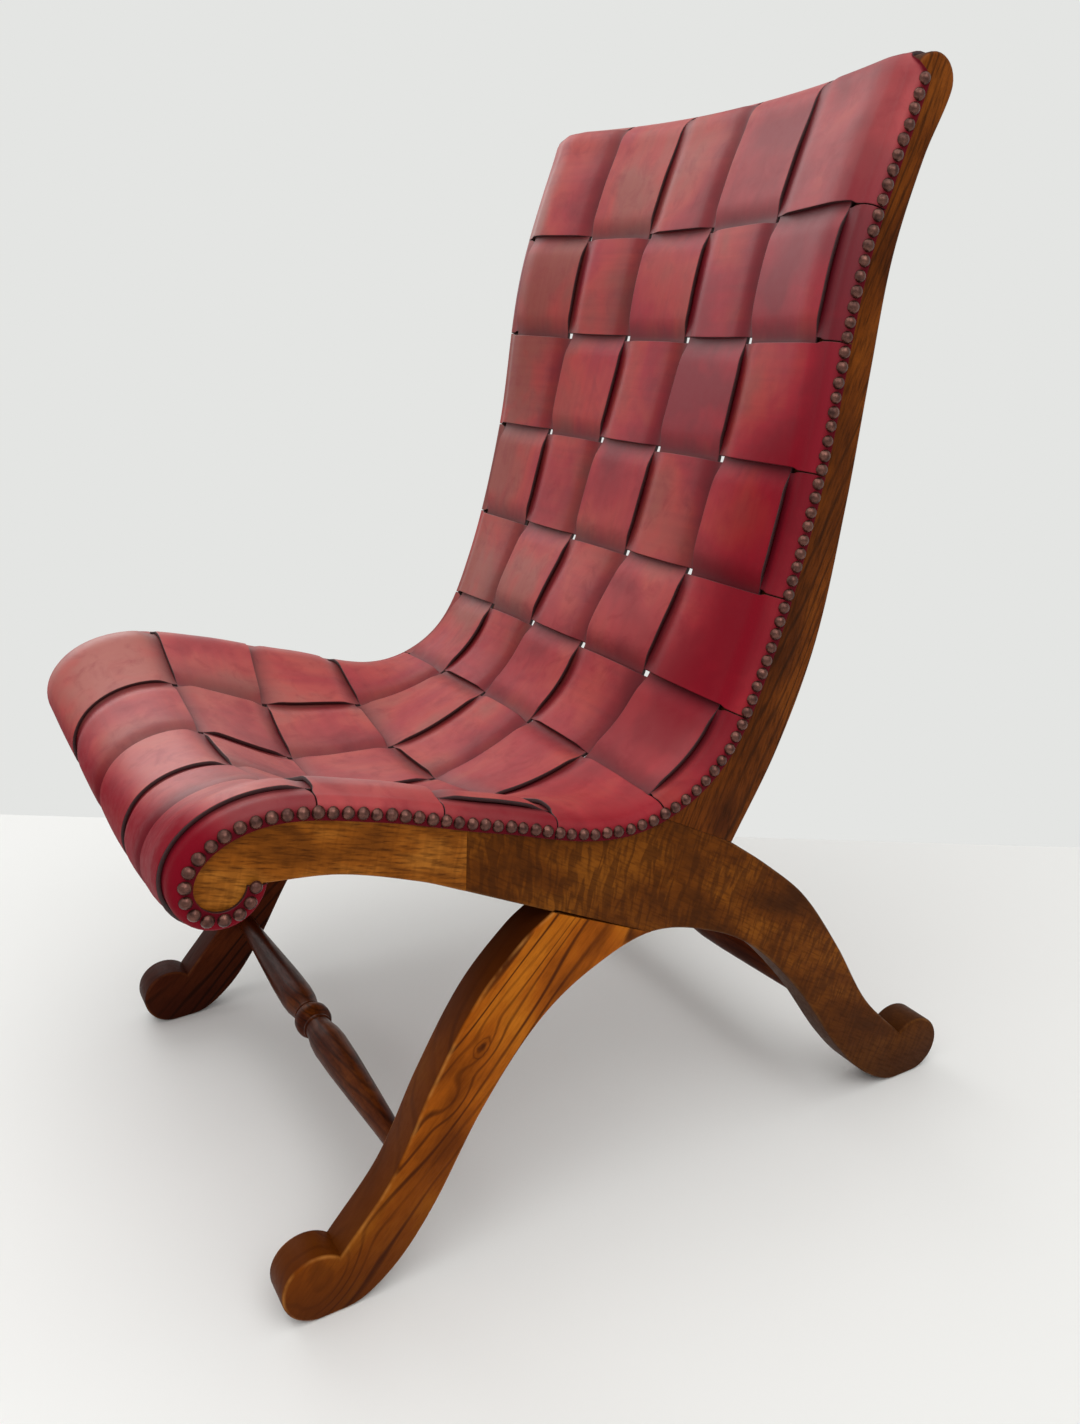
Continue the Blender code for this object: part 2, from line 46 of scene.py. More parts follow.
seatLine = {  # seat edge of the boards in (y, z), y from the middle of the leg arch
    "shift": 0.0201,  # from there to the middle of the chair
    "noseCentre": (0.2385, 0.850), "noseRadius": 0.019,
    "back": ((0.1728, 0.7342), (0.1398, 0.5811), (0.0951, 0.4472), (0.0486, 0.3716)),
    "dip": (-0.0245, 0.3450),
    "seat": ((-0.1320, 0.3750), (-0.2200, 0.4055)),
    "rise": (-0.2950, 0.4215),
    "rollCentre": (-0.3325, 0.3755), "rollRadius": 0.0295, "rollEnd": math.radians(-13),
    "turnDown": 0.035,  # long straps behind the crest rail
    "steps": 40,
    "sag": ((0.0935, 0.0182, -0.0072), (0.1880, 0.0176, -0.0038), (0.2825, 0.0052, -0.0013),
            (0.3770, -0.0014, 0.0005), (0.4715, -0.0139, 0.0099), (0.5660, -0.0020, 0.0062),
            (0.6605, -0.0110, -0.0384), (0.7550, -0.0210, -0.0604), (0.8495, -0.0060, -0.0475),
            (0.9000, 0.0030, -0.0465), (0.9500, 0.0090, -0.0450)),
    "soften": 0.06,  # eases the leather's bend over a board's inner edge
}

boards = {
    "inner": 0.217, "outer": 0.250,  # a frame's faces, from the middle of the chair
    "gap": 0.0003,
    "round": 0.0027, "roundSteps": 4,  # worn edges
    "stileBack": ((0.2343, 0.8006), (0.2105, 0.7350), (0.1955, 0.6550), (0.1790, 0.5600),
                  (0.1550, 0.4550), (0.1200, 0.3720)),
    "crotch": (0.0770, 0.3005),
    "railUnder": ((-0.2519, 0.3608), (-0.1945, 0.3397)),
    "archHeight": 0.2417,
    "legTop": ((0.1150, 0.2695), (0.1560, 0.2300), (0.1970, 0.1680), (0.2350, 0.1005)),
    "legUnder": ((0.0600, 0.2241), (0.1060, 0.1934), (0.1564, 0.1342), (0.2047, 0.0596), (0.2420, 0.0180)),
    "footReach": 0.300, "footRadius": 0.0285, "footNotch": math.radians(133), "footFlat": 0.020,
    "stileJoint": -0.0045, "railJoint": -0.1555,
    "railJointUnder": (-0.1600, 0.3225), "legJointFront": (-0.0895, 0.2855),
    "steps": 10, "scrollSteps": 28, "seatStep": 0.004,
}


def pickNothing():
    bpy.ops.object.select_all(action="DESELECT")


def pickFaces():
    bpy.ops.mesh.select_all(action="SELECT")


def smoothCurve(knots, steps, start=None, end=None):
    knots = [Vector(knot) for knot in knots]
    ways = [(after - before).normalized() for before, after in zip(knots, knots[2:])]
    ways.insert(0, start or (knots[1] - knots[0]).normalized())
    ways.append(end or (knots[-1] - knots[-2]).normalized())
    points = [knots[0]]
    for a, b, wayA, wayB in zip(knots, knots[1:], ways, ways[1:]):
        reach = (b - a).length / 3
        points += geometry.interpolate_bezier(a, a + wayA * reach, b - wayB * reach, b, steps + 1)[1:]
    return points


def arcPoints(centre, wide, start, end, steps, tall=None):
    turns = [start + (end - start) * step / steps for step in range(steps + 1)]
    return [Vector((centre[0] + wide * math.cos(t), centre[1] + (tall or wide) * math.sin(t))) for t in turns]


def sitterSide(way):
    return Vector((way[1], -way[0]))


def layLine(s):
    reach = Vector(s["back"][0]) - Vector(s["noseCentre"])
    down = Matrix.Rotation(math.asin(s["noseRadius"] / reach.length), 2) @ reach.normalized()
    front = math.atan2(*reversed(sitterSide(down)))
    nose = arcPoints(s["noseCentre"], s["noseRadius"], front - math.pi, front, s["steps"])
    seat = smoothCurve((nose[-1], *s["back"], s["dip"], *s["seat"], s["rise"]), s["steps"], start=down,
                       end=Vector((-1, 0)))
    bow = arcPoints((s["rise"][0], s["rollCentre"][1]), s["rise"][0] - s["rollCentre"][0] + s["rollRadius"],
                    math.pi / 2, math.pi, s["steps"], tall=s["rise"][1] - s["rollCentre"][1])
    scroll = arcPoints(s["rollCentre"], s["rollRadius"], math.pi, 2 * math.pi + s["rollEnd"], s["steps"])
    points = [nose[0] + down * s["turnDown"], *nose, *seat[1:], *bow[1:], *scroll[1:]]
    lengths = [0.0]
    for a, b in zip(points, points[1:]):
        lengths.append(lengths[-1] + (b - a).length)
    lengths = [length - lengths[len(nose)] for length in lengths]
    return {"points": points, "lengths": lengths, "down": down, "start": lengths[0], "nose": lengths[1],
            "end": lengths[-1], "sag": smoothCurve(s["sag"], s["steps"])}


line = layLine(seatLine)


def lineAt(length):  # point of the seat edge and its direction
    points, lengths = line["points"], line["lengths"]
    i = min(max(bisect.bisect_left(lengths, length), 1), len(lengths) - 1)
    a, b = points[i - 1], points[i]
    share = (length - lengths[i - 1]) / (lengths[i] - lengths[i - 1])
    wayA = (b - points[max(i - 2, 0)]).normalized()
    wayB = (points[min(i + 1, len(points) - 1)] - a).normalized()
    return a.lerp(b, share), wayA.lerp(wayB, share).normalized()


def hangAt(x, length):  # how far the leather hangs from the boards' edge
    t, k = 1 - (x / boards["inner"]) ** 2, seatLine["soften"]
    share = t if t > k else 0.0 if t < -k else (t + k) ** 2 / (4 * k)
    sag = line["sag"]
    i = bisect.bisect_left(sag, length, key=lambda knot: knot[0])
    if i in (0, len(sag)):
        knot = sag[max(i - 1, 0)]
    else:
        knot = sag[i - 1].lerp(sag[i], (length - sag[i - 1][0]) / (sag[i][0] - sag[i - 1][0]))
    return Vector((knot[1], knot[2])) * share


def onLeather(x, length, height):  # a point this high on the sitter's side of the hanging leather
    point, way = lineAt(length)
    y, z = point + sitterSide(way) * height + hangAt(x, length)
    return Vector((x, y + seatLine["shift"], z))


def lengthAt(y):  # where the seat edge, past the nose, first reaches this y
    for a, b, length in zip(line["points"], line["points"][1:], line["lengths"][1:]):
        if length > 0 and b[0] <= y <= a[0]:
            return length - (b - a).length * (y - b[0]) / (a[0] - b[0])


def hexLinear(code):
    parts = [int(code[i:i + 2], 16) / 255 for i in (0, 2, 4)]
    return (*[c / 12.92 if c <= 0.04045 else ((c + 0.055) / 1.055) ** 2.4 for c in parts], 1.0)


def setNode(node, values, links):
    for socket, value in values.items():
        node.inputs[socket].default_value = value
    for socket, source in links.items():
        if isinstance(source, bpy.types.Node):  # it stands for its Fac output, or else its first one
            source = source.outputs.get("Fac") or source.outputs[0]
        node.id_data.links.new(source, node.inputs[socket])


def addNode(tree, kind, values=None, links=None, stops=(), **settings):
    node = tree.nodes.new("ShaderNode" + kind)
    for name, value in settings.items():
        setattr(node, name, value)
    setNode(node, values or {}, links or {})
    for i, (place, code) in enumerate(stops):
        if i > 1:
            node.color_ramp.elements.new(1.0)
        node.color_ramp.elements[i].position = place
        node.color_ramp.elements[i].color = hexLinear(code)
    return node


def newMaterial(name):
    made = bpy.data.materials.new(name)
    made.use_nodes = True
    return made, functools.partial(addNode, made.node_tree), made.node_tree.nodes["Principled BSDF"]


# Waxed hardwood, sawn and rubbed down by hand: a few dark growth lines wander along each board between cloudy
# paler wood, flecks follow the grain, curls cross it, the rounded edges are rubbed paler with a painted
# highlight along them, and the narrow faces carry deeper stain and painted shade.
woods = {
    "columns": ("rough", "gloss", "deep", "line", "body", "pale", "worn", "stain", "name"),
    "light": (0.44, 0.045, "361402", "683004", "984D0A", "B26514", "BC7C3A", "4E2203", "waxed_figured_oak"),
    "curled": (0.46, 0.045, "281002", "3C1C04", "603006", "7E460E", "8E6238", "3A1C06",
               "waxed_curled_walnut"),
    "dark": (0.46, 0.045, "200E02", "461E04", "643008", "783E0E", "8A5C34", "3A1A06", "waxed_dark_walnut"),
    "turned": (0.32, 0.06, "180602", "320E02", "521E04", "7E4012", "7C4A28", "3A1406", "waxed_turned_walnut"),
    "rail": (0.44, 0.045, "361804", "5E3008", "8A4C12", "AA6A26", "BC7C3A", "5A2804", "waxed_striped_oak"),
    # for the far front leg: partly its own darker wood, partly painted shade for its place under the seat
    "red": (0.44, 0.045, "1C0802", "351104", "56220A", "6C3010", "7C4A28", "300E04",
            "waxed_red_brown_walnut"),
    "hidden": (0.55, 0.2, "4A3018", "6A4826", "866038", "9A744A", "9A744A", "6A4826", "aged_plain_beech"),
    "stretch": 8.0,  # growth lines and flecks are this much longer than they are wide
    "waveUnit": 0.628,  # spacing of a wave pattern at scale 1
    "wander": 1 / 17, "fade": 1 / 42, "cloud": 1 / 24, "rub": 1 / 45,  # sizes of uneven patches
    "curlGap": 0.0055, "fleckGap": 0.0021,
    "knotLong": 1.7, "eyeFrom": 0.006, "eyeTo": 0.016, "eyeRagged": 0.012, "eyePatch": 1 / 75,
    "eyeRings": ((0.0, "F0F0F0"), (0.14, "C8C8C8"), (0.28, "505050"), (0.46, "484848"), (0.56, "C0C0C0"),
                 (0.72, "000000")),
    "soilTop": 0.16,  # feet are darker towards the floor
}


def woodMaterial(label, figure):
    # figure: how the grain is turned in the (y, z) plane and slid, and how strong its lines and curls are
    w = woods
    look = dict(zip(w["columns"], w[figure["tone"]]))
    made, add, shader = newMaterial("%s_%s" % (look["name"], label))
    coord = add("TexCoord").outputs
    place = add("SeparateXYZ", links={0: coord["Object"]}).outputs
    lie = (0, 0, math.pi / 2) if figure.get("along") == "X" else (figure["angle"], 0, 0)
    turned = add("Mapping", {"Rotation": lie, "Location": figure["slide"]},
                 {"Vector": coord["Object"]}, vector_type="TEXTURE")
    along = add("VectorMath", {1: (0.7, 1 / w["stretch"], 1)}, {0: turned}, operation="MULTIPLY")
    wander = add("TexNoise", {"Scale": 1 / w["wander"], "Detail": 2.0, "Roughness": 0.4}, {"Vector": along})
    phase = add("Math", {1: figure["drift"]}, {0: wander}, operation="MULTIPLY")
    eyes = []
    for middle, wide, rings, hasEye in figure.get("knots", ()):  # growth lines go round it; some have an eye
        near = add("Mapping", {"Location": middle, "Rotation": lie, "Scale": (1, w["knotLong"], 1)},
                   {"Vector": coord["Object"]}, vector_type="TEXTURE")
        away = add("VectorMath", links={0: near}, operation="LENGTH").outputs["Value"]
        swell = add("MapRange", {2: wide, 3: rings * 2 * math.pi, 4: 0.0}, {0: away},
                    interpolation_type="SMOOTHSTEP")
        phase = add("Math", links={0: phase, 1: swell}, operation="ADD")
        if hasEye:
            patch = add("TexNoise", {"Scale": 1 / w["eyePatch"], "Detail": 2.0}, {"Vector": coord["Object"]})
            ragged = add("Math", {1: w["eyeRagged"]}, {0: patch, 2: away}, operation="MULTIPLY_ADD")
            reach = add("MapRange", {1: w["eyeFrom"], 2: w["eyeTo"]}, {0: ragged})
            eyes.append(add("ValToRGB", links={"Fac": reach}, stops=w["eyeRings"]))
    lines = add("TexWave", {"Scale": w["waveUnit"] / figure["gap"], "Distortion": 5.0,
                            "Detail": 2.0, "Detail Scale": 0.6, "Detail Roughness": 0.55},
                {"Vector": along, "Phase Offset": phase}, wave_type="BANDS",
                bands_direction="DIAGONAL", wave_profile="SIN")
    thin = add("MapRange", {1: 0.74, 4: figure["lines"]}, {0: lines})
    faint = add("TexNoise", {"Scale": 1 / w["fade"], "Detail": 1.0}, {"Vector": along})
    some = add("MapRange", {1: 0.34, 2: 0.56, 3: 0.25}, {0: faint})
    lineShare = add("Math", links={0: thin, 1: some}, operation="MULTIPLY")
    spread = add("VectorMath", {1: (1, 0.4, 1)}, {0: turned}, operation="MULTIPLY")
    cloud = add("TexNoise", {"Scale": 1 / w["cloud"], "Detail": 4.0, "Roughness": 0.55}, {"Vector": spread})
    colour = add("ValToRGB", links={"Fac": cloud},
                 stops=((0.34, look["pale"]), (0.50, look["body"]), (0.68, look["line"])))
    # darker towards the floor, in the stain colour
    darkerLow = add("MapRange", {2: w["soilTop"], 3: 0.95, 4: 0.0}, {0: place["Z"]})
    if figure.get("fan"):  # curls lean more and more along the board
        least, growth = figure["fan"]
        lean = add("Math", {1: growth, 2: least}, {0: place["Y"]}, operation="MULTIPLY_ADD")
        rise = add("Math", {1: boards["crotch"][1]}, {0: place["Z"]}, operation="SUBTRACT")
        back = add("Math", links={0: rise, 1: lean}, operation="MULTIPLY")
        run = add("Math", links={0: place["Y"], 1: back}, operation="SUBTRACT")
        laid, upright = add("CombineXYZ", links={0: place["X"], 1: run, 2: place["Z"]}), 0.26
    else:
        laid, upright = turned, 0.15
    bars = add("VectorMath", {1: (0.6, 1, upright)}, {0: laid}, operation="MULTIPLY")
    curl = add("TexNoise", {"Scale": 1 / w["curlGap"], "Detail": 1.0, "Distortion": 0.8}, {"Vector": bars})
    curlShare = add("MapRange", {1: 0.43, 2: 0.60, 4: figure["curl"]}, {0: curl})
    flecks = add("TexNoise", {"Scale": 1 / w["fleckGap"], "Detail": 3.0, "Roughness": 0.6}, {"Vector": along})
    fleckShare = add("MapRange", {1: 0.46, 2: 0.70, 4: figure["fleck"]}, {0: flecks})
    edge = add("Attribute", attribute_name="edge")
    # painted shade on the narrow faces, mixed with deeper stain
    narrowFaceShade = add("MapRange", {4: 0.8}, {0: edge})
    layers = [("stain", darkerLow), ("deep", lineShare), ("line", curlShare), ("deep", fleckShare)]
    layers += [("deep", eye) for eye in eyes] + [("stain", narrowFaceShade)]
    # painted shade: the narrow faces of this leg darken towards the top, under the rail
    if figure.get("grime"):
        low, high = figure["grime"]
        shadeUnderRailShare = add("MapRange", {1: low, 2: high, 4: 0.9}, {0: place["Z"]})
        layers.append(("deep", add("Math", links={0: shadeUnderRailShare, 1: edge}, operation="MULTIPLY")))
    # worn ridges: rubbed paler, and a painted highlight along each rounded edge
    worn = add("Attribute", attribute_name="worn")
    rubbed = add("TexNoise", {"Scale": 1 / w["rub"], "Detail": 3.0}, {"Vector": coord["Object"]})
    wornShare = add("MapRange", {1: 0.38, 2: 0.72, 4: figure["worn"]}, {0: rubbed})
    layers.append(("worn", add("Math", links={0: worn, 1: wornShare}, operation="MULTIPLY")))
    for key, share in layers:
        colour = add("MixRGB", {"Color2": hexLinear(look[key])}, {"Color1": colour, "Fac": share})
    rough = add("MapRange", {1: 0.3, 2: 0.8, 3: look["rough"] - 0.05, 4: look["rough"] + 0.15}, {0: flecks})
    bump = add("Bump", {"Strength": 0.2, "Distance": 0.0004}, {"Height": flecks}, invert=True)
    setNode(shader, {"Specular IOR Level": look["gloss"]},
            {"Base Color": colour, "Roughness": rough, "Normal": bump})
    return made


def legOutline(front, topStart):
    b, side = boards, -1 if front else 1
    scroll = arcPoints((b["footReach"], b["footRadius"]), b["footRadius"], b["footNotch"], -math.pi / 2,
                       b["scrollSteps"])
    upper = smoothCurve((topStart, *b["legTop"], scroll[0]), b["steps"])
    heel = (b["footReach"] - b["footFlat"], 0.0)
    under = smoothCurve((heel, *reversed(b["legUnder"]), (0.0, b["archHeight"])), b["steps"],
                        start=Vector((-1, 0)), end=Vector((-1, 0)))
    return [Vector((side * y, z)) for y, z in upper + scroll[1:] + under]


def seatEdge(start, end):
    count = max(2, round((end - start) / boards["seatStep"]))
    return [lineAt(start + (end - start) * step / count)[0] for step in range(count + 1)]


def parted(joint, side):  # a joint's two ends, moved half the gap to one side
    a, b = joint
    aside = sitterSide((b - a).normalized()) * boards["gap"] / 2 * side
    return [a + aside, b + aside]


def frameOutlines():
    b = boards
    stileAt, railAt = lengthAt(b["stileJoint"]), lengthAt(b["railJoint"])
    stileJoint = (lineAt(stileAt)[0], Vector(b["crotch"]))
    railJoint = (lineAt(railAt)[0], Vector(b["railJointUnder"]))
    legJoint = (Vector(b["legJointFront"]), Vector((0, b["archHeight"])))
    railTop, railFoot = parted(railJoint, 1)
    under = smoothCurve((line["points"][-1], *b["railUnder"], railFoot), b["steps"])
    rail = [railTop, *seatEdge(railAt, line["end"])[1:], *under[1:]]
    stileSeat, stileCrotch = parted(stileJoint, 1)
    blockTop, blockFoot = parted(railJoint, -1)
    legFront, legArch = parted(legJoint, -1)
    block = [stileSeat, *seatEdge(stileAt, railAt)[1:-1], blockTop, blockFoot, legFront, legArch]
    block += reversed(legOutline(False, stileCrotch)[:-1])
    seatEnd, crotch = parted(stileJoint, -1)
    back = smoothCurve((line["points"][1], *b["stileBack"], crotch), b["steps"], start=line["down"])
    stile = [*reversed(back[1:]), *seatEdge(line["nose"], stileAt)[:-1], seatEnd]
    legFront, legArch = parted(legJoint, 1)
    leg = [*legOutline(True, (-legFront[0], legFront[1]))[:-1], legArch]
    outlines = {"seat_rail": rail, "rear_leg": block, "back_stile": stile, "front_leg": leg}
    return outlines, (stileJoint, railJoint, legJoint)


def onJoint(point, joint):
    a, b = joint
    along = (b - a).normalized()
    place = (point - a).dot(along)
    aside = abs((point - a).dot(sitterSide(along)))
    return -boards["gap"] < place < (b - a).length + boards["gap"] and aside < boards["gap"]


def sawBoard(name, outline, joints, side, material):
    pickNothing()
    bpy.ops.mesh.primitive_circle_add(vertices=len(outline), radius=0.1, fill_type="NGON")
    board = bpy.context.object
    board.name = name
    mesh = board.data
    inner, outer, soft = boards["inner"], boards["outer"], boards["round"]
    for vertex, (y, z) in zip(mesh.vertices, outline):
        vertex.co = (side * inner, y + seatLine["shift"], z)
    bpy.ops.object.mode_set(mode="EDIT")
    pickFaces()
    bpy.ops.mesh.extrude_region_move(TRANSFORM_OT_translate={"value": (side * (outer - inner), 0, 0)})
    pickFaces()
    bpy.ops.mesh.normals_make_consistent(inside=False)
    bpy.ops.mesh.select_all(action="DESELECT")
    bpy.ops.mesh.select_mode(type="EDGE")
    bpy.ops.object.mode_set(mode="OBJECT")
    for edge in mesh.edges:  # rims of the two flat faces, but not along glued joints
        a, b = (mesh.vertices[i].co for i in edge.vertices)
        middle = (a + b) / 2
        flat = Vector((middle.y - seatLine["shift"], middle.z))
        edge.select = abs(a.x - b.x) < 1e-6 and not any(onJoint(flat, joint) for joint in joints)
    bpy.ops.object.mode_set(mode="EDIT")
    bpy.ops.mesh.bevel(offset=soft, segments=boards["roundSteps"], affect="EDGES", clamp_overlap=True)
    bpy.ops.object.mode_set(mode="OBJECT")
    bpy.ops.object.shade_smooth_by_angle(angle=math.radians(40))
    for label in ("worn", "edge"):  # edge is 1 on the narrow faces, painted darker: deeper stain, and painted shade on faces turned from the light
        mesh.attributes.new(label, "FLOAT", "POINT")
    # worn peaks along the middle of each rounded edge: wear, and a painted highlight
    for vertex in mesh.vertices:
        depth = min(outer - abs(vertex.co.x), abs(vertex.co.x) - inner, soft)
        turn = math.acos(1 - max(depth, 0.0) / soft) / (math.pi / 4)
        mesh.attributes["worn"].data[vertex.index].value = max(0.0, 1 - abs(turn - 1))
        mesh.attributes["edge"].data[vertex.index].value = max(0.0, turn - 1)
    mesh.materials.append(material)
    return board


figures = {  # grain of each board; the angle follows the board's length
    "columns": ("tone", "angle", "gap", "drift", "lines", "curl", "fleck", "worn"),
    "left_seat_rail": ("rail", -0.30, 0.012, 30.0, 0.45, 0.25, 0.75, 0.50),
    "left_rear_leg": ("curled", -0.60, 0.014, 30.0, 0.06, 0.60, 0.45, 0.35),
    "left_back_stile": ("dark", 1.21, 0.009, 44.0, 0.65, 0.10, 0.65, 0.15),
    "left_front_leg": ("light", 0.80, 0.018, 54.0, 0.90, 0.05, 0.25, 0.75),
    "right_seat_rail": ("rail", -0.30, 0.012, 28.0, 0.45, 0.25, 0.75, 0.50),
    "right_rear_leg": ("dark", -0.60, 0.013, 34.0, 0.15, 0.60, 0.35, 0.35),
    "right_back_stile": ("dark", 1.21, 0.009, 40.0, 0.65, 0.10, 0.65, 0.15),
    "right_front_leg": ("red", 0.80, 0.016, 44.0, 0.90, 0.10, 0.35, 0.50),
    "extras": {
        "left_seat_rail": {"shift": 0.06},
        "left_rear_leg": {"fan": (0.22, 1.4)},
        "right_rear_leg": {"fan": (0.22, 1.4)},
        "left_front_leg": {"grime": (0.19, 0.27),  # heights: painted shade on the narrow face under the rail, darker towards the top
                           "knots": (((0.250, -0.1340, 0.1897), 0.018, 0.95, True),
                                     ((0.250, -0.1620, 0.1530), 0.018, 0.95, False),
                                     ((0.250, -0.2740, 0.0290), 0.034, 2.6, False))},
    },
}


def makeFrames():
    outlines, joints = frameOutlines()
    for label, side in (("left", 1), ("right", -1)):
        for kind, outline in outlines.items():
            name = "%s_%s" % (label, kind)
            figure = dict(zip(figures["columns"], figures[name]), **figures["extras"].get(name, {}))
            figure["slide"] = (0.13 * side + figure.get("shift", 0.0), 0.31 * len(kind), 0.07 * len(name))
            board = sawBoard(name + "_board", outline, joints, side, woodMaterial(name, figure))
            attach(board, "root")
            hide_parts(name)
    print("side frames: 8 boards")


makeFrames()

stretchers = {
    "y": 0.2110, "z": 0.0915, "around": 40, "step": 0.005,
    "grain": {"tone": "turned", "along": "X", "gap": 0.010, "drift": 30.0, "lines": 0.5, "curl": 0.15,
              "fleck": 0.5, "worn": 0.0},
    "half": ((0.0171, 0.0), (0.0168, 0.0040), (0.0150, 0.0078), (0.0122, 0.0100), (0.0120, 0.0112),
             (0.0134, 0.0122), (0.0134, 0.0142), (0.0122, 0.0152), (0.0126, 0.0200), (0.0150, 0.0340),
             (0.0158, 0.0480), (0.0150, 0.0800), (0.0128, 0.1250), (0.0102, 0.1750), (0.0086, 0.2171)),
}


def turnStretcher(name, side):
    s = stretchers
    profile = [(radius, -place) for radius, place in reversed(s["half"][1:])] + list(s["half"])
    fine = [profile[0]]
    for (radiusA, a), (radiusB, b) in zip(profile, profile[1:]):
        count = max(1, round((b - a) / s["step"]))
        shares = [k / count for k in range(1, count + 1)]
        fine += [(radiusA + (radiusB - radiusA) * share, a + (b - a) * share) for share in shares]
    pickNothing()
    bpy.ops.mesh.primitive_grid_add(x_subdivisions=len(fine) - 1, y_subdivisions=s["around"], size=1)
    piece = bpy.context.object
    piece.name = name + "_turning"
    mesh = piece.data
    y = side * s["y"] + seatLine["shift"]
    for vertex in mesh.vertices:  # the grid is rolled into a tube
        radius, x = fine[round((vertex.co.x + 0.5) * (len(fine) - 1))]
        turn = 2 * math.pi * (vertex.co.y + 0.5)
        vertex.co = (x, y + radius * math.cos(turn), s["z"] + radius * math.sin(turn))
    bpy.ops.object.mode_set(mode="EDIT")
    pickFaces()
    bpy.ops.mesh.remove_doubles(threshold=0.00001)
    pickFaces()
    bpy.ops.mesh.fill_holes(sides=0)
    pickFaces()
    bpy.ops.mesh.normals_make_consistent(inside=False)
    bpy.ops.object.mode_set(mode="OBJECT")
    bpy.ops.object.shade_smooth_by_angle(angle=math.radians(50))
    mesh.materials.append(woodMaterial(name, dict(s["grain"], slide=(0.4 * side, 0.2, 0.1))))
    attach(piece, "root")
    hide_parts(name)


turnStretcher("front_stretcher", -1)
turnStretcher("rear_stretcher", 1)
print("stretchers: 2")

leather = {
    "columns": 5, "rows": 10, "width": 0.470, "space": 0.004, "thick": 0.0032, "softEdge": 0.0005,
    "middle": 0.0035,  # height of the weave's middle over the boards' edge
    "swing": 0.0017,  # a strap's middle lies this far over or under it
    "turn": 0.018,  # length of its rise from under a neighbour's edge
    "pressFrom": 0.0, "pressTo": 0.045, "press": 0.55,  # straps lie flatter over the crest rail
    "firstRow": 0.0935, "lastRow": 0.2075, "crestLap": 0.012,
    "archLong": (0.0, 0.0003, 0.0010, 0.0012, 0.0014, 0.0018, 0.0018, 0.0014, 0.0008, 0.0003, 0.0),
    "archCross": 0.0009,  # slack of a cross strap between crossings
    "slackFrom": 0.004, "slackOver": 0.03,  # from a board's inner face
    "slopeFrom": 0.229, "slopeTo": 0.2445,  # a strap on top comes down to the board
    "sideLap": 0.0120, "corner": 0.006, "cornerSteps": 5, "marginStops": (0.004, 0.008),  # folded ends
    "soilFrom": 0.0105, "soilTo": 0.0040,  # their last stretch is dark between and beside the nails: painted shade round them, and dirt
    "flapFrom": 0.234, "flapTo": 0.240, "flapGrow": 0.0017,  # neighbouring ends nearly touch on the boards
    "cutFrom": -0.014, "cutTo": 0.004, "cutAt": 0.237, "cutLeast": 0.08,  # corners cut back at the crest
    "pinchLong": 0.0017, "pinchCross": 0.0005, "pinchOver": 0.03,  # straps narrow where they cross
    "bulge": 0.0018, "bulgeFrom": 0.090, "bulgeTo": 0.055,  # wide straps stand out on the front roll
    "polish": (0.8, 0.85, 0.75, 0.65, 0.6, 0.4, 0.45, 0.8, 1.0, 1.0),  # how much each row is rubbed; it also sets the pale worn and deep crimson tones, painted sheen and shade
    "leastX": (0.11, 0.215), "leastRows": ((1.6, 2.6), (5.0, 4.4)), "leastEnd": (0.236, 0.250),
    "least": 0.85,  # the back's edge at the sitter's left is rubbed least
    "endX": (0.228, 0.250), "endRows": (1.0, 2.0), "endLess": 0.4,  # and nobody rubs the folded ends
    "dullFrom": 0.140, "dullTo": 0.098,  # before the end of the seat line: no polish under the roll, so its dye turns deep crimson there, painted shade
    "dullLean": 0.10,  # it ends sooner towards the sitter's left
    "shade": 0.017, "rim": 0.0009,  # painted shade towards a neighbour's edge, and a dark rim at the strap's own edge
    "seedStep": 0.7,  # the dye differs a little from crossing to crossing
    "edgeSteps": (0.0, 0.0008, 0.0018, 0.003, 0.0045, 0.0065, 0.010), "step": 0.0045, "leastStep": 0.0002,
    "uvUnit": 1.25,
}


def weaveEdges():
    t = leather
    pitch = (line["end"] - t["lastRow"] - t["firstRow"]) / (t["rows"] - 2)
    rows = [-t["crestLap"] - t["space"] / 2, *[t["firstRow"] + pitch * i for i in range(t["rows"] - 1)],
            line["end"] + t["space"] / 2]
    wide = t["width"] / t["columns"]
    columns = [-t["width"] / 2 + wide * i for i in range(t["columns"] + 1)]
    return rows, columns


rowEdges, columnEdges = weaveEdges()


def longOnTop(row, column):  # +1 where the long strap lies over the cross strap, else -1
    if row == 0:
        return -1
    if column in (0, leather["columns"] + 1):
        return 1
    return 1 if (row + column) % 2 else -1


def ease(place, start, end):
    share = min(1.0, max(0.0, (place - start) / (end - start)))
    return share * share * (3 - 2 * share)


def sway(place, edges, signs):  # -1 under a neighbour, +1 over it, with a slow rise between
    i = bisect.bisect_left(edges, place)
    if signs[i] < 0:
        return -1.0
    share, turn = 1.0, leather["turn"]
    if i > 0 and signs[i - 1] < 0:
        share = min(share, ease(place, edges[i - 1], edges[i - 1] + turn))
    if i < len(edges) and signs[i + 1] < 0:
        share = min(share, ease(place, edges[i], edges[i] - turn))
    return 2 * share - 1


def press(length):  # 1 on seat and back, less over the crest rail
    t = leather
    return t["press"] + (1 - t["press"]) * ease(length, t["pressFrom"], t["pressTo"])


def wave(place, edges):  # 1 in the middle of a crossing, 0 at its edges
    i = bisect.bisect_left(edges, place)
    if i in (0, len(edges)):
        return 0.0
    return math.sin(math.pi * (place - edges[i - 1]) / (edges[i] - edges[i - 1]))


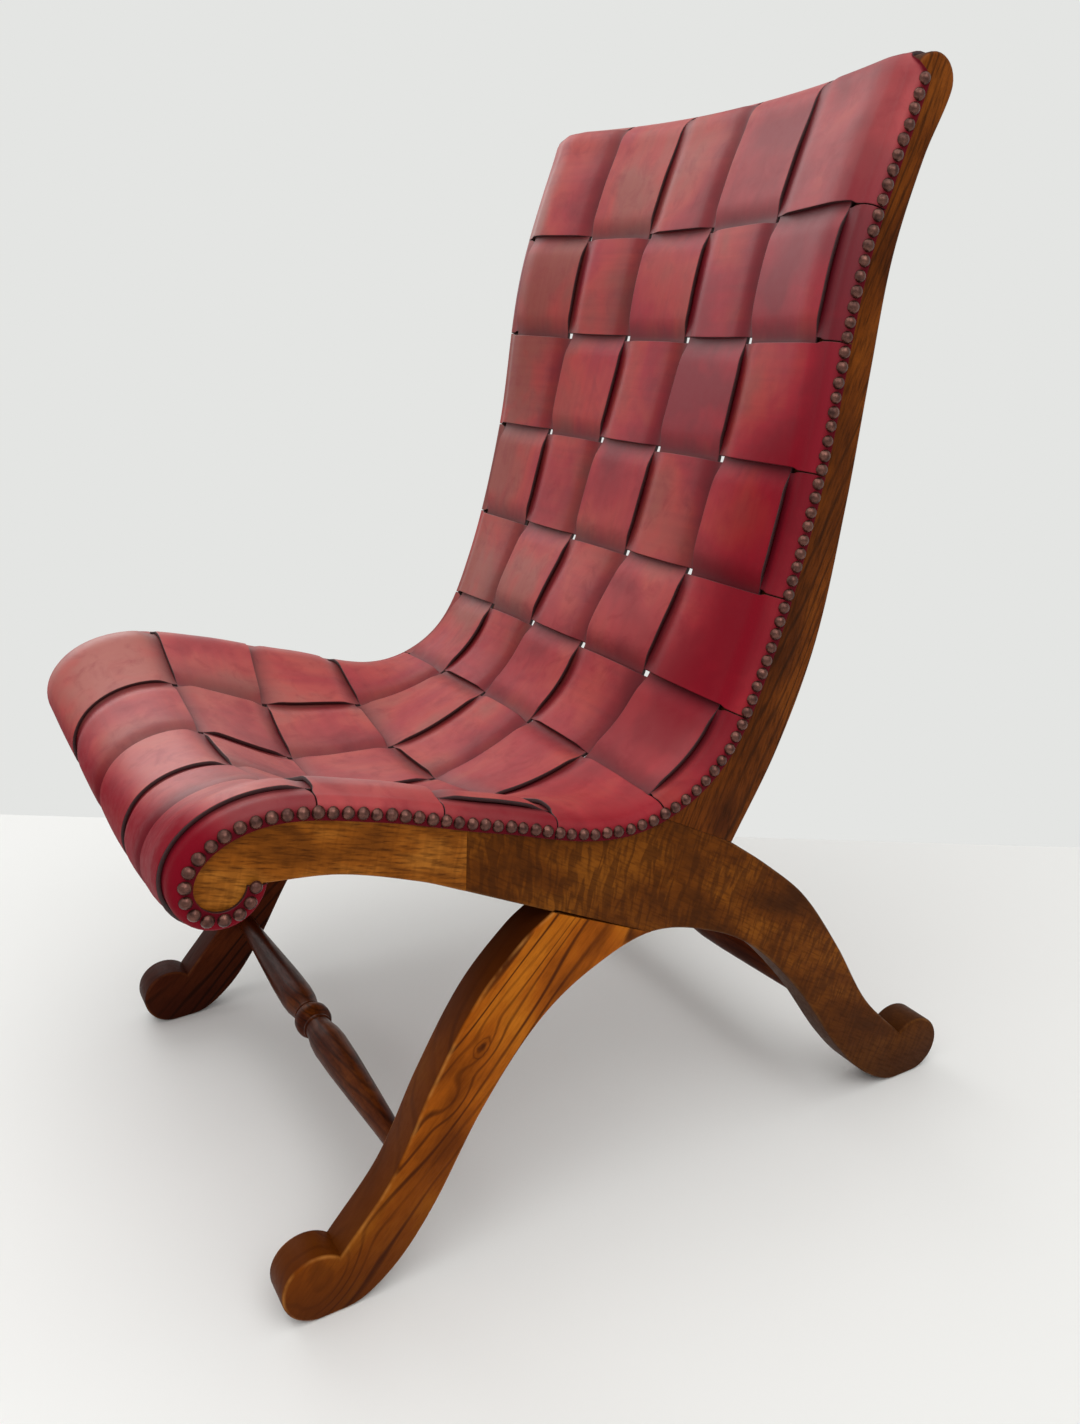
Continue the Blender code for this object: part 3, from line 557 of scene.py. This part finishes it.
def offBoards(x):  # 0 where the leather rests on a board
    return min(1.0, max(0.0, (boards["inner"] - leather["slackFrom"] - abs(x)) / leather["slackOver"]))


def bulge(x, length):  # on the front of the roll every other column stands out
    t = leather
    column = bisect.bisect_left(columnEdges, x)
    out = t["bulge"] if column % 2 else -t["bulge"]
    return out * wave(x, columnEdges) * ease(length, line["end"] - t["bulgeFrom"], line["end"] - t["bulgeTo"])


def longHeight(column, x, length):
    t = leather
    row = bisect.bisect_left(rowEdges, length)
    signs = [longOnTop(r, column) for r in range(t["rows"] + 2)]
    signs[-1] = signs[-2]
    arch = t["archLong"][min(row, t["rows"])] * wave(length, rowEdges) * signs[row]
    if signs[row] < 0:
        arch *= offBoards(x)
    height = (t["middle"] + t["swing"] * sway(length, rowEdges, signs) + arch) * press(length)
    return height + bulge(x, length)


def crossHeight(row, x, length):
    t = leather
    column = bisect.bisect_left(columnEdges, x)
    signs = [-longOnTop(row, c) for c in range(t["columns"] + 2)]
    signs[0], signs[-1] = signs[1], signs[-2]
    lower = (signs[column] + 1) * ease(abs(x), t["slopeFrom"], t["slopeTo"])
    arch = t["archCross"] * wave(x, columnEdges) * signs[column] * ease(length, t["pressFrom"], t["pressTo"])
    if signs[column] < 0:
        arch *= 0.0 if row in (1, t["rows"]) else offBoards(x)
    height = (t["middle"] + t["swing"] * (sway(x, columnEdges, signs) - lower) + arch) * press(length)
    return height + bulge(x, length)


def thinned(stops):  # in order, without near doubles
    ordered = sorted(stops)
    kept = [ordered[0]]
    for stop in ordered[1:]:
        if stop - kept[-1] > leather["leastStep"]:
            kept.append(stop)
    return kept


def stopsBetween(start, end, fineStart=True):
    steps = leather["edgeSteps"]
    found = [end - offset for offset in steps] + [start + offset for offset in steps if fineStart]
    low = start + (steps[-1] if fineStart else 0)
    high = end - steps[-1]
    count = max(1, round((high - low) / leather["step"]))
    return thinned(found + [low + (high - low) * k / count for k in range(count + 1)])


# Saddle leather, dyed by hand and polished: clouds of red and burgundy that turn browner towards the sitter's
# right, painted shade where one strap goes under another, fine pores, and a soft sheen where people rub it,
# with a paler worn tone there that is partly painted sheen.
hides = {
    "deep": "3A0610", "wine": "7A0C1E", "red": "981024", "warm": "A42C28", "brown": "86382E",
    "crimson": "7A0418",  # dye that nobody has rubbed, also painted shade on the roll's lower front
    "worn": "C07A70", "wornShare": 0.32, "wornFrom": 0.64, "wornTo": 0.44,  # heights; the pale worn tone is wear, and painted sheen and light on the seat
    # the crest rows get the same pale tone: wear, and painted sheen
    "crestShare": 0.19, "crestFrom": 0.72, "crestTo": 0.82,
    "edge": "1E0508", "fibre": "3A0E10", "flesh": "6B3A2A", "fleshRed": "7A2C26",
    "cloud": 0.10, "scuff": 0.022, "crease": 1 / 130, "pore": 0.0011,  # sizes of their patches
    "streakWide": 0.006, "streakLong": 0.12, "fibreSize": 1 / 900, "napSize": 1 / 420, "stainSize": 1 / 14,
    "gloss": 0.05, "rough": 0.6, "wax": 1.0, "waxIor": 1.36, "waxRough": 0.43,
}


def leatherMaterials():
    h, unit = hides, leather["uvUnit"]
    made, add, shader = newMaterial("polished_red_saddle_leather")
    coord = add("TexCoord").outputs
    place = add("SeparateXYZ", links={0: coord["Object"]}).outputs
    seed, tuck, polish, rim = (add("Attribute", attribute_name=name)
                               for name in ("seed", "tuck", "polish", "rim"))
    cloud = add("TexNoise", {"Scale": 1 / h["cloud"], "Detail": 3.0, "Roughness": 0.55, "Distortion": 0.4},
                {"Vector": coord["Object"], "W": seed}, noise_dimensions="4D")
    aside = add("MapRange", {1: -0.25, 2: 0.25, 3: 0.14, 4: -0.15}, {0: place["X"]})
    wider = add("MapRange", {1: 0.3, 2: 0.7, 3: 0.23, 4: 0.77}, {0: cloud})
    shifted = add("Math", links={0: wider, 1: aside}, operation="ADD")
    colour = add("ValToRGB", links={"Fac": shifted},
                 stops=((0.28, h["wine"]), (0.45, h["red"]), (0.58, h["warm"]), (0.74, h["brown"])))
    run = add("Mapping", {"Scale": (unit / h["streakWide"], unit / h["streakLong"], 1)},
              {"Vector": coord["UV"]})
    streak = add("TexNoise", {"Scale": 1.0, "Detail": 3.0}, {"Vector": run})
    streakShare = add("MapRange", {1: 0.4, 2: 0.75, 4: 0.35}, {0: streak})
    # pale worn tone low on the seat and up on the crest: wear, and painted sheen and light
    seatWearAndSheen, crestWearAndSheen = (add("MapRange", {1: h[part + "From"], 2: h[part + "To"], 4: h[part + "Share"]},
                     {0: place["Z"]}, interpolation_type="SMOOTHSTEP")
                 for part in ("worn", "crest"))
    wearAndSheenByHeight = add("Math", links={0: seatWearAndSheen, 1: crestWearAndSheen}, operation="MAXIMUM")
    patchy = add("MapRange", {1: 0.34, 2: 0.62, 3: 0.45, 4: 1.35}, {0: cloud})
    rubbed = add("Math", links={0: patchy, 1: polish}, operation="MULTIPLY")
    wornShare = add("Math", links={0: wearAndSheenByHeight, 1: rubbed}, operation="MULTIPLY")
    # painted shade: deep crimson where the leather is unpolished, on the roll's lower front and the less
    # rubbed margins
    crimsonAndShade = add("MapRange", {2: 0.45, 3: 0.75, 4: 0.0}, {0: polish})
    scuff = add("TexNoise", {"Scale": 1 / h["scuff"], "Detail": 5.0, "Roughness": 0.62,
                             "Distortion": 0.6}, {"Vector": coord["Object"]})
    scuffShare = add("MapRange", {1: 0.5, 2: 0.74, 4: 0.5}, {0: scuff})
    # painted shade where a strap goes under a neighbour and on the folded margins, with dirt round the nails
    shadeAndDirtShare = add("MapRange", {4: 0.7}, {0: tuck})
    rimShare = add("MapRange", {4: 0.35}, {0: rim})
    for key, share in (("wine", streakShare), ("worn", wornShare), ("crimson", crimsonAndShade), ("wine", scuffShare),
                       ("deep", shadeAndDirtShare), ("edge", rimShare)):
        colour = add("MixRGB", {"Color2": hexLinear(h[key])}, {"Color1": colour, "Fac": share})
    pores = add("TexVoronoi", {"Scale": 1 / h["pore"]}, {"Vector": coord["Object"]})
    crease = add("TexNoise", {"Scale": 1 / h["crease"], "Detail": 4.0, "Roughness": 0.6},
                 {"Vector": coord["Object"]})
    relief = add("Math", {1: 0.35}, {0: pores, 2: crease}, operation="MULTIPLY_ADD")
    bump = add("Bump", {"Strength": 0.07, "Distance": 0.0006}, {"Height": relief})
    rough = add("MapRange", {1: 0.35, 2: 0.7, 3: h["rough"] - 0.06, 4: h["rough"] + 0.08}, {0: crease})
    wax = add("MapRange", {4: h["wax"]}, {0: polish})
    setNode(shader, {"Specular IOR Level": h["gloss"], "Coat IOR": h["waxIor"],
                     "Coat Roughness": h["waxRough"]},
            {"Base Color": colour, "Roughness": rough, "Coat Weight": wax, "Normal": bump,
             "Coat Normal": bump})

    cut, add, shader = newMaterial("burnished_leather_edge")
    coord = add("TexCoord").outputs
    fibre = add("TexNoise", {"Scale": 1 / h["fibreSize"], "Detail": 2.0}, {"Vector": coord["Object"]})
    colour = add("ValToRGB", links={"Fac": fibre}, stops=((0.3, h["edge"]), (0.75, h["fibre"])))
    setNode(shader, {"Roughness": 0.55}, {"Base Color": colour})

    flesh, add, shader = newMaterial("leather_flesh_side")
    coord = add("TexCoord").outputs
    nap = add("TexNoise", {"Scale": 1 / h["napSize"], "Detail": 4.0, "Roughness": 0.7},
              {"Vector": coord["Object"]})
    stain = add("TexNoise", {"Scale": 1 / h["stainSize"], "Detail": 3.0}, {"Vector": coord["Object"]})
    base = add("ValToRGB", links={"Fac": stain}, stops=((0.35, h["flesh"]), (0.65, h["fleshRed"])))
    colour = add("MixRGB", {"Fac": 0.35}, {"Color1": base, "Color2": nap}, blend_type="OVERLAY")
    bump = add("Bump", {"Strength": 0.4, "Distance": 0.0006}, {"Height": nap})
    setNode(shader, {"Roughness": 0.9}, {"Base Color": colour, "Normal": bump})
    return made, cut, flesh


leatherLooks = leatherMaterials()


def foldReach():  # of a cross strap, from the middle of the chair round a board's edge
    t = leather
    bend = boards["outer"] - t["corner"]
    fold = (t["corner"] + t["middle"] - t["swing"]) * math.pi / 2
    return bend, fold, bend + fold + t["sideLap"] - t["corner"]


def nailShadeAndDirtAt(run):  # 1 at the end of a cross strap, round the nails: painted shade there, and dirt
    t, reach = leather, foldReach()[2]
    return ease(abs(run), reach - t["soilFrom"], reach - t["soilTo"])


def polishAt(x, length):
    t = leather
    pitch = rowEdges[2] - rowEdges[1]
    row = min(max((length - rowEdges[1]) / pitch + 0.5, 0.0), len(t["polish"]) - 1.001)
    low, high = t["polish"][int(row):int(row) + 2]
    rubbed = low + (high - low) * (row % 1)
    least = ease(x, *t["leastX"]) * (1 - 0.6 * ease(x, *t["leastEnd"]))
    for rows in t["leastRows"]:
        least *= ease(row, *rows)
    rubbed *= 1 - t["least"] * least
    rubbed *= 1 - t["endLess"] * ease(abs(x), *t["endX"]) * ease(row, *t["endRows"])
    rubbed *= 1 - nailShadeAndDirtAt(x)
    under = length - line["end"] + t["dullLean"] * x
    return rubbed * (1 - ease(under, -t["dullFrom"], -t["dullTo"]))


def cutStrap(name, sides, runs, place, tuckAt, seedValue, spotOf, edges):
    # sides and runs are stops across and along the strap; place turns a pair of them into a point
    pickNothing()
    bpy.ops.mesh.primitive_grid_add(x_subdivisions=len(sides) - 1, y_subdivisions=len(runs) - 1, size=1,
                                    calc_uvs=True)
    strap = bpy.context.object
    strap.name = name
    mesh = strap.data
    for label in ("tuck", "rim", "polish", "seed"):
        mesh.attributes.new(label, "FLOAT", "POINT")
    spots = []
    for vertex in mesh.vertices:
        side = sides[round((vertex.co.x + 0.5) * (len(sides) - 1))]
        run = runs[round((vertex.co.y + 0.5) * (len(runs) - 1))]
        spots.append((side, run))
        vertex.co = place(side, run)
        near = min(abs(side - sides[0]), abs(sides[-1] - side))
        crossing = min(max(bisect.bisect_left(edges, run), 1), len(edges) - 1)
        values = {"tuck": tuckAt(side, run), "rim": max(0.0, 1 - near / leather["rim"]),
                  "polish": polishAt(*spotOf(side, run)), "seed": seedValue + leather["seedStep"] * crossing}
        for label, value in values.items():
            mesh.attributes[label].data[vertex.index].value = value
    unit = leather["uvUnit"]
    for loop, corner in zip(mesh.loops, mesh.uv_layers[0].data):
        side, run = spots[loop.vertex_index]
        corner.uv = (abs(side - sides[0]) / unit, (run - runs[0]) / unit)
    for look in leatherLooks:
        mesh.materials.append(look)
    bpy.ops.object.shade_smooth()
    solid = strap.modifiers.new("thickness", "SOLIDIFY")
    solid.thickness, solid.offset, solid.use_even_offset = leather["thick"], 0.0, False
    solid.material_offset, solid.material_offset_rim = 2, 1
    soft = strap.modifiers.new("soft edges", "BEVEL")
    soft.width, soft.segments = leather["softEdge"], 2
    soft.limit_method, soft.angle_limit = "ANGLE", math.radians(60)
    for modifier in list(strap.modifiers):
        bpy.ops.object.modifier_apply(modifier=modifier.name)
    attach(strap, "root")
    return strap


def tuckShade(place, edges, onTop, slow, margin):
    # painted shade: 0 in the open middle of a crossing, 1 where the strap goes under a neighbour
    i = bisect.bisect_left(edges, place)
    if i in (0, len(edges)):
        return 0.0 if onTop(i) else margin
    if not onTop(i):
        return 1.0
    near = 1.0
    if not onTop(i - 1):
        near = (place - edges[i - 1]) * slow
    if not onTop(i + 1):
        near = min(near, edges[i] - place)
    return max(0.0, 1 - near / (leather["shade"] * slow)) ** 1.5


def pinch(place, edges, most):  # a strap's share of narrowing near a crossing, which opens the corners
    near = min(abs(place - edge) for edge in edges)
    return most * (1 - ease(near, 0.0, leather["pinchOver"]))


def makeLongStraps():
    t = leather
    for column in range(1, t["columns"] + 1):
        left = columnEdges[column - 1] + t["space"] / 2
        right = columnEdges[column] - t["space"] / 2
        runs = [stopsBetween(line["start"], rowEdges[0], False)]
        for start, end in zip(rowEdges, rowEdges[1:]):
            runs.append(stopsBetween(start, min(end, line["end"])))

        def place(x, length, column=column, left=left, right=right):
            x += ((left + right) / 2 - x) * pinch(length, rowEdges[2:6], 2 * t["pinchLong"] / (right - left))
            return onLeather(x, length, longHeight(column, x, length))

        def tuckAt(x, length, column=column):
            return tuckShade(length, rowEdges, lambda row: row == 0 or longOnTop(row, column) > 0, 1.4, 0.0)

        strap = cutStrap("long_strap_%d_leather" % column, stopsBetween(left, right)[::-1],
                         thinned(sum(runs, [])), place, tuckAt, 1.7 * column,
                         lambda x, length: (x, length), rowEdges)
        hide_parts("long_strap_%d" % column)


def crossPoint(row, run, length):
    # run is measured along the strap from the middle of the chair; past the board's edge it turns down
    t = leather
    side = 1 if run > 0 else -1
    start, end = rowEdges[row - 1], rowEdges[row]
    grow = t["flapGrow"] * ease(abs(run), t["flapFrom"], t["flapTo"])
    share = 2 * (length - start) / (end - start) - 1
    if (share > 0 and row < t["rows"]) or (share < 0 and row > 1):
        length += grow * share
    corner, height = t["corner"], t["middle"] - t["swing"]
    flat = boards["outer"] - corner
    past = abs(run) - flat
    if past <= 0:
        return onLeather(run, length, crossHeight(row, run, length))
    radius = corner + height
    turn = min(past / radius, math.pi / 2)
    drop = max(0.0, past - radius * math.pi / 2)
    x = flat + radius * math.sin(turn)
    return onLeather(side * x, length, (corner + height * press(length)) * math.cos(turn) - corner - drop)


def makeCrossStraps():
    t = leather
    bend, fold, reach = foldReach()
    for row in range(1, t["rows"] + 1):
        start = rowEdges[row - 1] + t["space"] / 2
        end = rowEdges[row] - t["space"] / 2
        runs = [stopsBetween(a, b) for a, b in zip(columnEdges, columnEdges[1:])]
        for sign in (-1, 1):
            outside = [columnEdges[-1] + stop for stop in t["marginStops"]]
            outside += [bend + fold * k / t["cornerSteps"] for k in range(t["cornerSteps"] + 1)]
            outside += [bend + fold + (reach - bend - fold) * k / 4 for k in range(1, 5)]
            runs.append([sign * x for x in outside])

        def place(length, run, row=row, start=start, end=end):
            if row > 1:
                most = 2 * t["pinchCross"] / (end - start)
                length += ((start + end) / 2 - length) * pinch(run, columnEdges[1:-1], most)
            if abs(run) > t["cutAt"]:
                share = max(ease(length, t["cutFrom"], t["cutTo"]), t["cutLeast"])
                run = math.copysign(t["cutAt"] + (abs(run) - t["cutAt"]) * share, run)
            return crossPoint(row, run, length)

        def tuckAt(length, run, row=row):
            def onTop(column):
                return longOnTop(row, min(max(column, 1), t["columns"])) < 0

            margin = max(0.25, 0.9 - 0.13 * row)  # painted shade on the folded margin outside the outer long straps, lighter row by row
            return max(tuckShade(run, columnEdges, onTop, 3.0, margin), nailShadeAndDirtAt(run))

        strap = cutStrap("cross_strap_%02d_leather" % row, stopsBetween(start, end), thinned(sum(runs, [])),
                         place, tuckAt, 20 + 1.3 * row, lambda length, run: (run, length), columnEdges)
        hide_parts("cross_strap_%02d" % row)


makeLongStraps()
makeCrossStraps()
print("leather: %d long straps, %d cross straps" % (leather["columns"], leather["rows"]))

# Dome-headed nails, cast bronze gone brown, in patches of dark patina and smoother, paler bronze
nails = {
    "depth": 0.0062, "pitch": 0.0105, "start": 0.004, "end": 0.001,  # along the seat edge
    "radius": 0.0048, "height": 0.0042, "cut": 0.0004, "sizes": (0.96, 1.04), "around": 12, "rings": 8,
    "sink": 0.0006, "lean": math.radians(10),  # towards the rounded edge of the board
    "tilt": math.radians(4), "slip": 0.0004, "seed": 7,  # set by hand
    "patina": "38201C", "bronze": "6E483E", "patch": 1 / 210, "pathSteps": 4000,
}


def nailMaterial():
    made, add, shader = newMaterial("aged_bronze")
    coord = add("TexCoord").outputs
    patch = add("TexNoise", {"Scale": 1 / nails["patch"], "Detail": 2.0}, {"Vector": coord["Object"]})
    colour = add("ValToRGB", links={"Fac": patch}, stops=((0.28, nails["patina"]), (0.74, nails["bronze"])))
    rough = add("MapRange", {1: 0.3, 2: 0.7, 3: 0.36, 4: 0.23}, {0: patch})
    setNode(shader, {"Metallic": 0.8}, {"Base Color": colour, "Roughness": rough})
    return made


def makeNail():
    n = nails
    pickNothing()
    bpy.ops.mesh.primitive_uv_sphere_add(segments=n["around"], ring_count=n["rings"], radius=n["radius"])
    nail = bpy.context.object
    nail.name = "nail"
    bpy.ops.object.mode_set(mode="EDIT")
    pickFaces()
    bpy.ops.mesh.bisect(plane_co=(0, 0, n["cut"]), plane_no=(0, 0, 1), clear_inner=True, use_fill=True)
    bpy.ops.object.mode_set(mode="OBJECT")
    for vertex in nail.data.vertices:
        vertex.co.z *= n["height"] / n["radius"]
    bpy.ops.object.shade_smooth_by_angle(angle=math.radians(50))
    return nail


def nailPlaces():
    count, low, high = nails["pathSteps"], nails["start"], line["end"] - nails["end"]
    path, walked = [], [0.0]
    for k in range(count + 1):
        point, way = lineAt(low + (high - low) * k / count)
        path.append((point - sitterSide(way) * nails["depth"], sitterSide(way)))
        if k:
            walked.append(walked[-1] + (path[k][0] - path[k - 1][0]).length)
    total = round(walked[-1] / nails["pitch"])
    return [path[min(bisect.bisect_left(walked, walked[-1] * k / total), count)] for k in range(total + 1)]


def makeNails():
    n = nails
    chance = random.Random(n["seed"])
    pattern, metal, places = makeNail(), nailMaterial(), nailPlaces()
    face = boards["outer"] + leather["middle"] - leather["swing"] + leather["thick"] / 2 - n["sink"]
    for label, side in (("left", 1), ("right", -1)):
        row = []
        for (y, z), up in places:
            copy = pattern.copy()
            copy.data = pattern.data.copy()
            bpy.context.scene.collection.objects.link(copy)
            tilt = Matrix.Rotation(chance.uniform(-1, 1) * n["tilt"], 4, "X")
            tilt = tilt @ Matrix.Rotation(chance.uniform(-1, 1) * n["tilt"], 4, "Y")
            spin = Matrix.Rotation(chance.uniform(0, math.pi), 4, "Z")
            axis = Vector((side * math.cos(n["lean"]), *(up * math.sin(n["lean"]))))
            turn = Vector((0, 0, 1)).rotation_difference(axis).to_matrix().to_4x4()
            size = Matrix.Scale(chance.uniform(*n["sizes"]), 4)
            slip = Vector((0, chance.uniform(-1, 1) * n["slip"], chance.uniform(-1, 1) * n["slip"]))
            spot = Vector((side * face, y + seatLine["shift"], z)) + slip
            copy.data.transform(Matrix.Translation(spot) @ turn @ tilt @ spin @ size)
            row.append(copy)
        pickNothing()
        for copy in row:
            copy.select_set(True)
        bpy.context.view_layer.objects.active = row[0]
        bpy.ops.object.join()
        joined = bpy.context.object
        joined.name = label + "_nail_row"
        joined.data.materials.append(metal)
        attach(joined, "root")
    bpy.data.objects.remove(pattern)
    print("nails: %d on each side" % len(places))


makeNails()

plainBeech = woodMaterial("inside", {"tone": "hidden", "along": "X", "slide": (0.2, 0.4, 0.3), "gap": 0.012,
                                     "drift": 24.0, "lines": 0.4, "curl": 0.1, "fleck": 0.4, "worn": 0.0})
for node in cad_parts.values():
    if not node.hide_render:  # rails and dowels that the leather and the joints cover
        node.data.materials.clear()
        node.data.materials.append(plainBeech)

studio = {
    "floorColour": "EDEDEB", "wall": "E4E5E3", "glow": "F6F6F4", "glowLevel": 0.55,
    "floorEdge": ((-0.9246, -0.3779), (0.0117, 0.8643)),  # where the floor meets the wall behind the chair
    "floorReach": 6.0,
    "softboxes": {"key": (2.0, 15.0, (2.4, 0.2, 2.2)), "top": (4.5, 78.0, (0.9, -0.5, 3.2)),
                  "window": (3.0, 48.0, (-4.4, -0.5, 2.8))},  # size, power and place
    "aim": (0.0, 0.0, 0.4),
}


def makeStudio():
    s = studio
    pickNothing()
    bpy.ops.mesh.primitive_plane_add(size=1)
    floor = bpy.context.object
    floor.name = "floor"
    a, b = (Vector((*spot, 0.0)) for spot in s["floorEdge"])
    along = (b - a).normalized() * s["floorReach"]
    ahead = Vector((along.y, -along.x, 0.0))
    for vertex in floor.data.vertices:
        vertex.co = (a + b) / 2 + along * 2 * vertex.co.x + ahead * (vertex.co.y + 0.5)
    made, shader = newMaterial("pale_studio_floor")[::2]
    setNode(shader, {"Base Color": hexLinear(s["floorColour"]), "Roughness": 0.55}, {})
    floor.data.materials.append(made)

    world = bpy.data.worlds.new("pale_room")
    bpy.context.scene.world = world
    world.use_nodes = True
    world.node_tree.nodes.clear()
    add = functools.partial(addNode, world.node_tree)
    rays = add("LightPath").outputs
    seen = rays["Is Camera Ray"]
    for kind in ("Glossy", "Transmission"):  # metal and gloss show the wall too
        seen = add("Math", links={0: seen, 1: rays["Is %s Ray" % kind]}, operation="MAXIMUM")
    wall = add("Background", {"Color": hexLinear(s["wall"]), "Strength": 1.0})
    glow = add("Background", {"Color": hexLinear(s["glow"]), "Strength": s["glowLevel"]})
    mixed = add("MixShader", links={0: seen, 1: glow, 2: wall})
    add("OutputWorld", links={"Surface": mixed})

    for label, (size, power, place) in s["softboxes"].items():
        lamp = bpy.data.lights.new(label + "_softbox", "AREA")
        lamp.shape, lamp.size, lamp.energy = "SQUARE", size, power
        holder = bpy.data.objects.new(label + "_softbox", lamp)
        bpy.context.scene.collection.objects.link(holder)
        holder.location = place
        holder.visible_camera = False
        holder.rotation_euler = (Vector(s["aim"]) - holder.location).to_track_quat("-Z", "Y").to_euler()


makeStudio()

lensBoard = {"place": (0.9554, -0.4602, 0.7269), "yaw": 1.10253, "pitch": 0.35189, "roll": 0.04475,
             "lens": 30.658, "shift": (0.02472, 0.01432)}


def makeCamera():
    c = lensBoard
    ahead = Vector((-math.sin(c["yaw"]) * math.cos(c["pitch"]), math.cos(c["yaw"]) * math.cos(c["pitch"]),
                    -math.sin(c["pitch"])))
    level = Vector((math.cos(c["yaw"]), math.sin(c["yaw"]), 0.0))
    below = ahead.cross(level)
    right = level * math.cos(c["roll"]) + below * math.sin(c["roll"])
    down = below * math.cos(c["roll"]) - level * math.sin(c["roll"])
    data = bpy.data.cameras.new("camera")
    data.lens, data.sensor_width = c["lens"], 36.0
    data.shift_x, data.shift_y = c["shift"]
    holder = bpy.data.objects.new("camera", data)
    bpy.context.scene.collection.objects.link(holder)
    turn = Matrix((right, -down, -ahead)).transposed().to_4x4()
    holder.matrix_world = Matrix.Translation(c["place"]) @ turn
    bpy.context.scene.camera = holder


makeCamera()
bpy.context.scene.view_settings.view_transform = "Standard"
